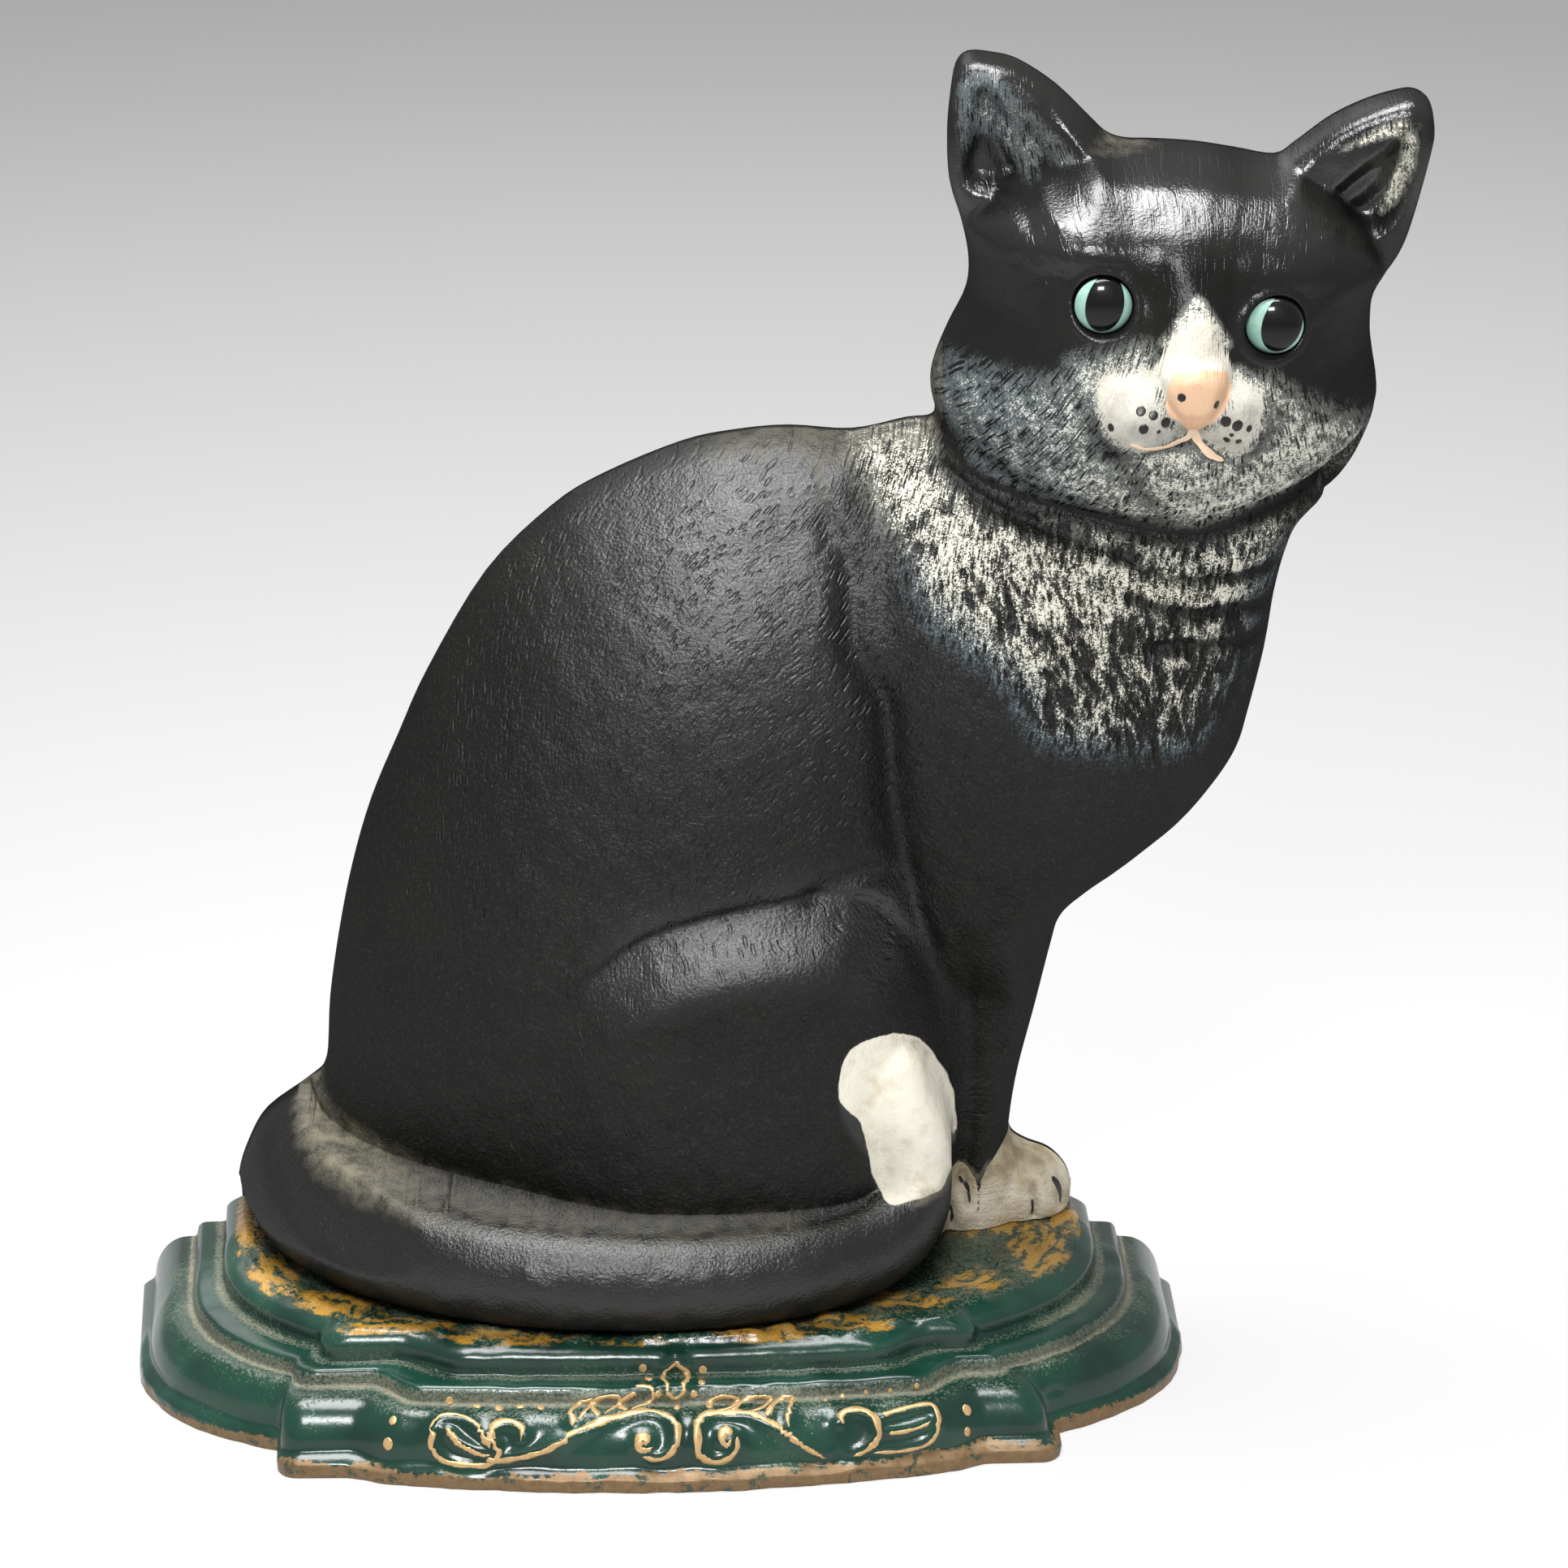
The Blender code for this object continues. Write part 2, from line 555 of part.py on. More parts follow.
def blend_level(place):
    """A plan level between the base (0), the middle lip (1) and the deck (2), or past them."""
    low, high, share = (BASE, LIP, place) if place < 1.0 else (LIP, DECK, place - 1.0)
    return {key: low[key] + share * (high[key] - low[key]) for key in low}


def half_plan(level, inset, side):
    """One side of a level's outline, as (across, forward) out from the middle and to the front."""
    half = level["half_width"] - inset
    reach = level["lobe_reach"] - inset
    block = level["block_half"] + side * level["block_shift"] - inset
    front = level["block_depth"] - inset
    bow = level["bow_depth"] - level["block_depth"]
    bow_half = min(level["bow_half"], block - BLOCK_CORNER - 1.0)
    shoulder = level["bow_shoulder"]
    end = math.acos((block / half) ** (LOBE_POWER / 2.0))
    row = []
    for angle in np.linspace(0.0, end, 12):
        row.append((half * math.cos(angle) ** (2.0 / LOBE_POWER),
                    level["lobe_start"] + reach * math.sin(angle) ** (2.0 / LOBE_POWER)))
    corner = min(BLOCK_CORNER, 0.8 * (front - row[-1][1]))
    for angle in np.linspace(0.0, 0.5 * math.pi, 4):
        row.append((block - corner + corner * math.cos(angle),
                    front - corner + corner * math.sin(angle)))
    steps = list(np.linspace(bow_half, bow_half - shoulder, 5))
    steps += list(np.linspace(bow_half - shoulder, 0.0, 5, endpoint=False))[1:]
    for across in steps:
        swell = smooth_step(0.0, shoulder, bow_half - across)
        row.append((across, front + bow * swell * (1.0 - level["bow_sag"] * (across / bow_half) ** 2)))
    return row


def plan_ring(level, inset, back_inset):
    """One level's outline all round, with its back edge in the plane of the flat back."""
    half = level["half_width"] - inset
    bow = level["bow_depth"] - inset
    lean = math.tan(PLINTH_TURN)
    back = back_inset / math.cos(PLINTH_TURN)
    right = half_plan(level, inset, 1.0)
    left = [(-across, forward) for across, forward in reversed(half_plan(level, inset, -1.0))]
    return [(half, half * lean + back)] + right + [(0.0, bow)] + left + [(-half, back - half * lean)]


def stacked_rings(rings, name, collection, finish=None):
    """A solid lofted through rings of (outline, height), closed at both ends."""
    bm = bmesh.new()
    cosine, sine = math.cos(PLINTH_TURN), math.sin(PLINTH_TURN)
    rows = []
    for outline, height in rings:
        rows.append([bm.verts.new((PLINTH_X + across * cosine + forward * sine,
                                   BACK_Y + across * sine - forward * cosine, height))
                     for across, forward in outline])
    for low, high in zip(rows, rows[1:]):
        for i in range(len(low)):
            j = (i + 1) % len(low)
            bm.faces.new((low[i], low[j], high[j], high[i]))
    bm.faces.new(rows[0])
    bm.faces.new(rows[-1])
    bmesh.ops.triangulate(bm, faces=[f for f in bm.faces if len(f.verts) > 4])
    return object_from(bm, name, collection, finish, sharp=30.0)


def make_plinth(parts, cutters, finish):
    """The stepped casting: gold rim, swelling band, two lips and the deck, hollow from below."""
    deck_lip = DECK_HEIGHT - DECK_LIP_DROP
    profile = [(0.0, 0.0), (0.0, RIM_HEIGHT), (0.12, RIM_HEIGHT + 1.2), (0.2, RIM_HEIGHT + 2.0)]
    for angle in np.linspace(0.0, 0.5 * math.pi, 6)[1:]:
        profile.append((0.2 + 0.62 * (1.0 - math.cos(angle)),
                        RIM_HEIGHT + 2.0 + (LEDGE_HEIGHT - RIM_HEIGHT - 2.0) * math.sin(angle)))
    profile += [(0.93, LEDGE_HEIGHT + 0.3), (0.96, LIP_HEIGHT - 1.0), (1.0, LIP_HEIGHT),
                (1.2, LIP_HEIGHT + 0.5), (1.8, LIP_HEIGHT + 0.9), (1.93, LIP_HEIGHT + 1.3),
                (1.96, deck_lip - 1.0), (2.0, deck_lip), (2.25, deck_lip + 1.2), (2.6, DECK_HEIGHT)]
    outer = [(plan_ring(blend_level(place), 0.0, 0.0), height) for place, height in profile]
    plinth = stacked_rings(outer, "plinth", parts, finish)
    inner = [(0.0, -1.0), (0.2, RIM_HEIGHT + 1.0), (0.8, LEDGE_HEIGHT - PLINTH_WALL),
             (1.9, DECK_HEIGHT - PLINTH_WALL)]
    hollow = [(plan_ring(blend_level(place), PLINTH_WALL, PLINTH_WALL), height)
              for place, height in inner]
    core = as_cutter(stacked_rings(hollow, "plinth_core", cutters))
    boolean(plinth, core, "DIFFERENCE")
    return plinth


def make_figure(parts, cutters, finish):
    """The cat: the relief solid, hollowed from the back, with bosses for the two screws."""
    figure = relief_solid("cat_figure", parts, finish)
    boolean(figure, core_solid("figure_core", cutters), "DIFFERENCE")
    for side, x in SCREWS.items():
        y = BACK_Y - SCREW_DEPTH
        low = DECK_HEIGHT + SEAT_GAP
        boss = as_cutter(cylinder(f"{side}_boss", BOSS_RADIUS, low + 1.0, low + BOSS_HEIGHT, x, y, cutters))
        boolean(figure, boss, "UNION")
    return figure


def make_screw(side, x, figure, plinth, parts, cutters, steel):
    """A slotted machine screw from under the deck into its boss, with a washer under its head."""
    y = BACK_Y - SCREW_DEPTH
    ceiling = DECK_HEIGHT - PLINTH_WALL
    washer_top = ceiling - SEAT_GAP
    head_top = washer_top - WASHER_THICKNESS - SEAT_GAP
    tip = DECK_HEIGHT + BOSS_HEIGHT - 1.0
    hole_radius = SCREW_RADIUS + SCREW_CLEARANCE
    hole = as_cutter(cylinder(f"{side}_screw_hole", hole_radius, ceiling - 3.0,
                              DECK_HEIGHT + BOSS_HEIGHT + 5.0, x, y, cutters))
    boolean(figure, hole, "DIFFERENCE")
    boolean(plinth, hole, "DIFFERENCE")
    length = tip - head_top
    round_edge = 0.8
    profile = [(0.0, length), (SCREW_RADIUS - 0.5, length), (SCREW_RADIUS, length - 0.8),
               (SCREW_RADIUS, 0.0), (SCREW_HEAD_RADIUS, 0.0),
               (SCREW_HEAD_RADIUS, round_edge - SCREW_HEAD_HEIGHT),
               (SCREW_HEAD_RADIUS - round_edge, -SCREW_HEAD_HEIGHT), (0.0, -SCREW_HEAD_HEIGHT)]
    screw = turned(f"plinth_screw_{side}", profile, parts, steel)
    screw.location = (x * MM, y * MM, head_top * MM)
    bm = bmesh.new()
    bmesh.ops.create_cube(bm, size=1.0)
    bmesh.ops.scale(bm, vec=(3.0 * SCREW_HEAD_RADIUS, SCREW_SLOT_WIDTH, 2.0 * SCREW_SLOT_DEPTH), verts=bm.verts)
    bmesh.ops.translate(bm, vec=(x, y, head_top - SCREW_HEAD_HEIGHT), verts=bm.verts)
    slot = as_cutter(object_from(bm, f"{side}_screw_slot", cutters))
    boolean(screw, slot, "DIFFERENCE")
    ring = [(WASHER_RADIUS, WASHER_THICKNESS), (WASHER_RADIUS, 0.0), (hole_radius, 0.0),
            (hole_radius, WASHER_THICKNESS), (WASHER_RADIUS, WASHER_THICKNESS)]
    washer = turned(f"screw_washer_{side}", ring, parts, steel)
    washer.location = (x * MM, y * MM, (washer_top - WASHER_THICKNESS) * MM)


def make_eye(name, place, figure, parts, cutters, finish):
    """A domed eye on its seat, with its shank through the wall of the face."""
    eye_x, eye_z = place
    seat = eye_seat(eye_x, eye_z)
    shank = FIGURE_WALL + SHANK_BEHIND_WALL
    profile = [(0.0, EYE_EDGE + EYE_RISE)]
    for angle in np.linspace(0.0, 0.5 * math.pi, 7)[1:]:
        profile.append((EYE_RADIUS * math.sin(angle), EYE_EDGE + EYE_RISE * math.cos(angle)))
    profile += [(EYE_RADIUS, 0.0), (SHANK_RADIUS, 0.0), (SHANK_RADIUS, -shank), (0.0, -shank)]
    eye = turned(name, profile, parts, finish)
    eye.rotation_euler = (0.5 * math.pi, 0.0, 0.0)
    eye.location = (eye_x * MM, (BACK_Y - seat - SEAT_GAP) * MM, (DECK_HEIGHT + eye_z) * MM)
    clear_radius = EYE_RADIUS + EYE_CLEARANCE
    bore_radius = SHANK_RADIUS + EYE_CLEARANCE
    bore = [(0.0, 20.0), (clear_radius, 20.0), (clear_radius, 0.0), (bore_radius, 0.0),
            (bore_radius, -2.0 * shank), (0.0, -2.0 * shank)]
    socket = as_cutter(turned(f"{name}_socket", bore, cutters, None))
    socket.rotation_euler = (0.5 * math.pi, 0.0, 0.0)
    socket.location = (eye_x * MM, (BACK_Y - seat) * MM, (DECK_HEIGHT + eye_z) * MM)
    boolean(figure, socket, "DIFFERENCE")


def main():
    clear_scene()
    parts = new_collection("cast_iron_doorstop")
    cutters = new_collection("cutters")
    black = material("black paint", (0.012, 0.012, 0.013), 0.35)
    green = material("green paint", (0.014, 0.062, 0.040), 0.28)
    eye_paint = material("eye enamel", (0.25, 0.55, 0.47), 0.12)
    steel = material("bright steel", (0.55, 0.55, 0.56), 0.3, metallic=1.0)
    plinth = make_plinth(parts, cutters, green)
    figure = make_figure(parts, cutters, black)
    for side, x in SCREWS.items():
        make_screw(side, x, figure, plinth, parts, cutters, steel)
    for name, place in EYES.items():
        make_eye(name, place, figure, parts, cutters, eye_paint)


main()
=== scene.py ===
"""A cast iron doorstop: a seated cat in half relief, screwed onto a stepped, bow-fronted plinth.

Both castings are painted by hand. Sizes are in millimetres, and MM turns them into metres. X runs to the
viewer's right, Y from the viewer to the flat back, and Z up. The cat's own heights start at the deck, the
top of the plinth, and its depths are in front of the flat back.
"""
import math

import bmesh
import bpy
import numpy as np
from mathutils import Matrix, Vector
from mathutils.bvhtree import BVHTree
from mathutils.geometry import delaunay_2d_cdt


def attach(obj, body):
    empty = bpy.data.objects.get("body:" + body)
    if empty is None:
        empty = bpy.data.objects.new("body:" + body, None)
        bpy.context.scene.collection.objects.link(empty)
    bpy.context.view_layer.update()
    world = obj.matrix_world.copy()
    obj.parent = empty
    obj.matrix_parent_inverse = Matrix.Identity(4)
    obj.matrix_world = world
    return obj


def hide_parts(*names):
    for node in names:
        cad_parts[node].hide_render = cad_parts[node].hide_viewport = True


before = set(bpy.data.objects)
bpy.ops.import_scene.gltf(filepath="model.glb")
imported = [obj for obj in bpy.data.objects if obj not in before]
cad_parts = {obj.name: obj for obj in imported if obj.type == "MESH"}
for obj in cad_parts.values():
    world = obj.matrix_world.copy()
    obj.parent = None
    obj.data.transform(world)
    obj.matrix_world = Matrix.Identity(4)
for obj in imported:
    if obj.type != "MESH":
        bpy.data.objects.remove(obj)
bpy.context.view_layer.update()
MM = 0.001
scene = bpy.context.scene
scene.view_settings.view_transform = "Standard"

# The place it stands: a white sheet that falls off to grey behind, a large softbox overhead, a small
# key high in front, a broad weak one below it and one behind. The camera looks down on it a little,
# as over a low table.
CAMERA_ELEVATION = math.radians(21.492)
CAMERA_DISTANCE = 1600.0
CAMERA_TARGET = (3.0, 8.1, 145.2)
LENS = 166.59
FLOOR_RADIUS = 9000.0
FLOOR_SIDES = 96
FLOOR_TONES = [(0.20, "#fefefe"), (0.27, "#fdfdfd"), (0.33, "#f9f9f9"), (0.417, "#f3f3f3"),
               (0.553, "#e9e9e9"), (0.705, "#dddddd"), (0.877, "#cfcfcf"), (1.073, "#bdbdbd"),
               (1.20, "#b3b3b3")]
FLOOR_REACH = 1.25
LIT_SHARE = 0.127
GLOW_SHARE = 0.795
ROOM_STRENGTH = 0.15
LAMP_AIM = (0, 0, 130)


def srgb(code):
    """An sRGB hex colour as the linear red, green, blue and alpha that a socket takes."""
    parts = [int(code[i:i + 2], 16) / 255.0 for i in (1, 3, 5)]
    return tuple(c / 12.92 if c <= 0.04045 else ((c + 0.055) / 1.055) ** 2.4 for c in parts) + (1.0,)


def add(tree, kind, settings=None, inputs=None):
    """Adds a node, applies its settings, and sets its inputs or links other nodes to them."""
    made = tree.nodes.new(kind)
    for name, value in (settings or {}).items():
        setattr(made, name, value)
    for name, value in (inputs or {}).items():
        if isinstance(value, bpy.types.Node):
            value = value.outputs[0]
        if isinstance(value, bpy.types.NodeSocket):
            tree.links.new(value, made.inputs[name])
        else:
            made.inputs[name].default_value = value
    return made


def new_material(name):
    """An empty node material, its tree, and its output node."""
    made = bpy.data.materials.new(name)
    made.use_nodes = True
    made.node_tree.nodes.clear()
    return made, made.node_tree, add(made.node_tree, "ShaderNodeOutputMaterial")


def mesh_object(name, corners, faces, finishes):
    """A smooth mesh object from corners in millimetres."""
    mesh = bpy.data.meshes.new(name)
    mesh.from_pydata((np.asarray(corners, float) * MM).tolist(), [], faces)
    bm = bmesh.new()
    bm.from_mesh(mesh)
    bmesh.ops.recalc_face_normals(bm, faces=bm.faces)
    bm.to_mesh(mesh)
    bm.free()
    mesh.shade_smooth()
    for finish in finishes:
        mesh.materials.append(finish)
    made = bpy.data.objects.new(name, mesh)
    scene.collection.objects.link(made)
    return made


def circle(centre, radius, count):
    """Even places round a circle."""
    angles = np.linspace(0.0, 2.0 * math.pi, count, endpoint=False)
    return np.stack([centre[0] + radius * np.cos(angles), centre[1] + radius * np.sin(angles)], 1)


def backdrop_rays(tree):
    """1 for the rays that see the bright backdrop: the camera's own, and those off gloss or through glass."""
    rays = add(tree, "ShaderNodeLightPath")
    seen = rays.outputs["Is Camera Ray"]
    for kind in ("Is Glossy Ray", "Is Transmission Ray"):
        seen = add(tree, "ShaderNodeMath", {"operation": "MAXIMUM"}, {0: seen, 1: rays.outputs[kind]})
    return seen


camera_data = bpy.data.cameras.new("camera")
camera_data.sensor_width = 36.0
camera_data.lens = LENS
camera_data.clip_end = 50.0
camera = bpy.data.objects.new("camera", camera_data)
scene.collection.objects.link(camera)
camera.rotation_euler = (0.5 * math.pi - CAMERA_ELEVATION, 0.0, 0.0)
camera.location = MM * (Vector(CAMERA_TARGET) + CAMERA_DISTANCE
                        * Vector((0.0, -math.cos(CAMERA_ELEVATION), math.sin(CAMERA_ELEVATION))))
scene.camera = camera

paper, tree, out = new_material("white paper sweep")
spot = add(tree, "ShaderNodeNewGeometry")
reach = add(tree, "ShaderNodeVectorMath", {"operation": "LENGTH"}, {0: spot.outputs["Position"]})
share = add(tree, "ShaderNodeMath", {"operation": "DIVIDE"}, {0: reach.outputs["Value"], 1: FLOOR_REACH})
tones = add(tree, "ShaderNodeValToRGB", inputs={"Fac": share})
for _ in FLOOR_TONES[2:]:
    tones.color_ramp.elements.new(0.5)
for stop, (place, _) in zip(tones.color_ramp.elements, FLOOR_TONES):
    stop.position = place / FLOOR_REACH
for stop, (_, tone) in zip(tones.color_ramp.elements, FLOOR_TONES):
    stop.color = srgb(tone)
seen = backdrop_rays(tree)
glow = add(tree, "ShaderNodeEmission", inputs={"Color": tones, "Strength": GLOW_SHARE})
lit_tone = add(tree, "ShaderNodeMixRGB", {"blend_type": "MULTIPLY"},
               {"Fac": 1.0, "Color1": tones, "Color2": (LIT_SHARE, LIT_SHARE, LIT_SHARE, 1.0)})
lit = add(tree, "ShaderNodeBsdfDiffuse", inputs={"Color": lit_tone})
both = add(tree, "ShaderNodeAddShader", inputs={0: glow, 1: lit})
plain = add(tree, "ShaderNodeBsdfDiffuse", inputs={"Color": srgb("#dcdcdc")})
mixed = add(tree, "ShaderNodeMixShader", inputs={"Fac": seen, 1: plain, 2: both})
tree.links.new(mixed.outputs[0], out.inputs["Surface"])
sheet = np.column_stack([circle((0.0, 0.0), FLOOR_RADIUS, FLOOR_SIDES), np.zeros(FLOOR_SIDES)])
floor = mesh_object("floor", sheet, [tuple(range(FLOOR_SIDES))], [paper])

world = bpy.data.worlds.new("studio")
world.use_nodes = True
scene.world = world
tree = world.node_tree
tree.nodes.clear()
seen = backdrop_rays(tree)
room = add(tree, "ShaderNodeBackground", inputs={"Color": srgb("#ffffff"), "Strength": ROOM_STRENGTH})
behind = add(tree, "ShaderNodeBackground", inputs={"Color": srgb(FLOOR_TONES[-1][1]), "Strength": 1.0})
mixed = add(tree, "ShaderNodeMixShader", inputs={"Fac": seen, 1: room, 2: behind})
add(tree, "ShaderNodeOutputWorld", inputs={"Surface": mixed})

SOFTBOXES = {
    "softbox_overhead": ((-60, 130, 1330), 780, 660, 26.0),
    "softbox_key": ((-60, -940, 1080), 360, 300, 13.0),
    "softbox_front": ((300, -1700, 1250), 1400, 1400, 0.9),
    "softbox_behind": ((-500, 1300, 1100), 900, 900, 4.0),
}
for name, (place, width, height, power) in SOFTBOXES.items():
    lamp_data = bpy.data.lights.new(name, "AREA")
    lamp_data.shape = "RECTANGLE"
    lamp_data.size = width * MM
    lamp_data.size_y = height * MM
    lamp_data.energy = power
    lamp = bpy.data.objects.new(name, lamp_data)
    scene.collection.objects.link(lamp)
    lamp.location = MM * Vector(place)
    lamp.rotation_euler = (Vector(LAMP_AIM) - Vector(place)).to_track_quat("-Z", "Y").to_euler()


# The plinth: one hollow sand casting with two side lobes, a block in front of them, a bow in front
# of that, and three steps up to the deck. Dark green gloss enamel, a gold foot, dust in the steps.
BACK_Y = 50.8
DECK_HEIGHT = 26.0
PLINTH_X = -26.6
PLINTH_TURN = math.radians(2.78)
PLINTH_WALL = 5.0
RIM_HEIGHT = 3.2
LEDGE_HEIGHT = 15.4
LIP_HEIGHT = 18.5
DECK_LIP_DROP = 2.6
LOBE_POWER = 2.45
BLOCK_CORNER = 5.0
BASE = dict(half_width=119.3, lobe_start=29.3, lobe_reach=60.4,
            block_half=87.3, block_depth=90.0, block_shift=0.0,
            bow_half=73.0, bow_depth=100.8, bow_shoulder=10.0, bow_sag=0.9)
LIP = dict(half_width=106.0, lobe_start=25.0, lobe_reach=60.0,
           block_half=78.5, block_depth=74.5, block_shift=-4.5,
           bow_half=66.0, bow_depth=86.5, bow_shoulder=11.0, bow_sag=0.3)
DECK = dict(half_width=99.4, lobe_start=19.3, lobe_reach=58.4,
            block_half=73.0, block_depth=71.0, block_shift=-4.0,
            bow_half=60.0, bow_depth=80.5, bow_shoulder=15.0, bow_sag=0.35)


def smooth_step(start, end, value):
    """0 before start, 1 after end, and an S curve between them."""
    t = np.clip((value - start) / (end - start), 0.0, 1.0)
    return t * t * (3.0 - 2.0 * t)


def bell(value, reach):
    """1 where a value is nought, dying out softly over a reach either side."""
    return np.exp(-(value / reach) ** 2)


def spline(points, steps, closed):
    """A smooth curve through the points, as a row of places with steps to a span."""
    knots = np.array(points, float)
    if closed:
        knots = np.vstack([knots[-1], knots, knots[:2]])
    else:
        knots = np.vstack([2 * knots[0] - knots[1], knots, 2 * knots[-1] - knots[-2]])
    row = []
    for before, start, end, after in zip(knots, knots[1:], knots[2:], knots[3:]):
        for t in np.arange(steps) / steps:
            row.append(0.5 * (2 * start + (end - before) * t
                              + (2 * before - 5 * start + 4 * end - after) * t * t
                              + (3 * start - before - 3 * end + after) * t ** 3))
    if not closed:
        row.append(knots[-2])
    return np.array(row)


def waves(x, z, pitch, seed):
    """A lumpy surface from -1 to 1: six crossed waves about a pitch apart."""
    turns = np.random.default_rng(seed)
    total = np.zeros(np.shape(x))
    for _ in range(6):
        angle, phase, stretch = turns.uniform(0.0, 2.0 * math.pi, 3)
        run = (x * math.cos(angle) + z * math.sin(angle)) * (0.7 + 0.1 * stretch) / pitch
        total = total + np.sin(2.0 * math.pi * run + phase)
    return total / 4.2


def blob(x, z, centre, reach):
    """1 at a centre, dying out softly over a reach each way."""
    return np.exp(-((x - centre[0]) / reach[0]) ** 2 - ((z - centre[1]) / reach[1]) ** 2)


def blend_level(place):
    """A plan level between the base (0), the middle lip (1) and the deck (2), or past them."""
    low, high, share = (BASE, LIP, place) if place < 1.0 else (LIP, DECK, place - 1.0)
    return {key: low[key] + share * (high[key] - low[key]) for key in low}


def half_plan(level, inset, side):
    """One side of a level's outline, as (across, forward) out from the middle and to the front."""
    half = level["half_width"] - inset
    reach = level["lobe_reach"] - inset
    block = level["block_half"] + side * level["block_shift"] - inset
    front = level["block_depth"] - inset
    bow = level["bow_depth"] - level["block_depth"]
    bow_half = min(level["bow_half"], block - BLOCK_CORNER - 1.0)
    shoulder = level["bow_shoulder"]
    end = math.acos((block / half) ** (LOBE_POWER / 2.0))
    row = []
    for angle in np.linspace(0.0, end, 42):
        row.append((half * math.cos(angle) ** (2.0 / LOBE_POWER),
                    level["lobe_start"] + reach * math.sin(angle) ** (2.0 / LOBE_POWER)))
    corner = min(BLOCK_CORNER, 0.8 * (front - row[-1][1]))
    for angle in np.linspace(0.0, 0.5 * math.pi, 10):
        row.append((block - corner + corner * math.cos(angle),
                    front - corner + corner * math.sin(angle)))
    steps = list(np.linspace(bow_half, bow_half - shoulder, 16))
    steps += list(np.linspace(bow_half - shoulder, 0.0, 56, endpoint=False))[1:]
    for across in steps:
        swell = smooth_step(0.0, shoulder, bow_half - across)
        row.append((across, front + bow * swell * (1.0 - level["bow_sag"] * (across / bow_half) ** 2)))
    return row


def plan_ring(level, inset, back_inset):
    """One level's outline all round, in the row's X and Y, with its back edge in the flat back."""
    half = level["half_width"] - inset
    lean = math.tan(PLINTH_TURN)
    back = back_inset / math.cos(PLINTH_TURN)
    right = half_plan(level, inset, 1.0)
    left = [(-across, forward) for across, forward in reversed(half_plan(level, inset, -1.0))]
    plan = [(half, half * lean + back)] + right + [(0.0, level["bow_depth"] - inset)] + left
    plan = np.array(plan + [(-half, back - half * lean)])
    cosine, sine = math.cos(PLINTH_TURN), math.sin(PLINTH_TURN)
    return np.stack([PLINTH_X + plan[:, 0] * cosine + plan[:, 1] * sine,
                     BACK_Y + plan[:, 0] * sine - plan[:, 1] * cosine], 1)


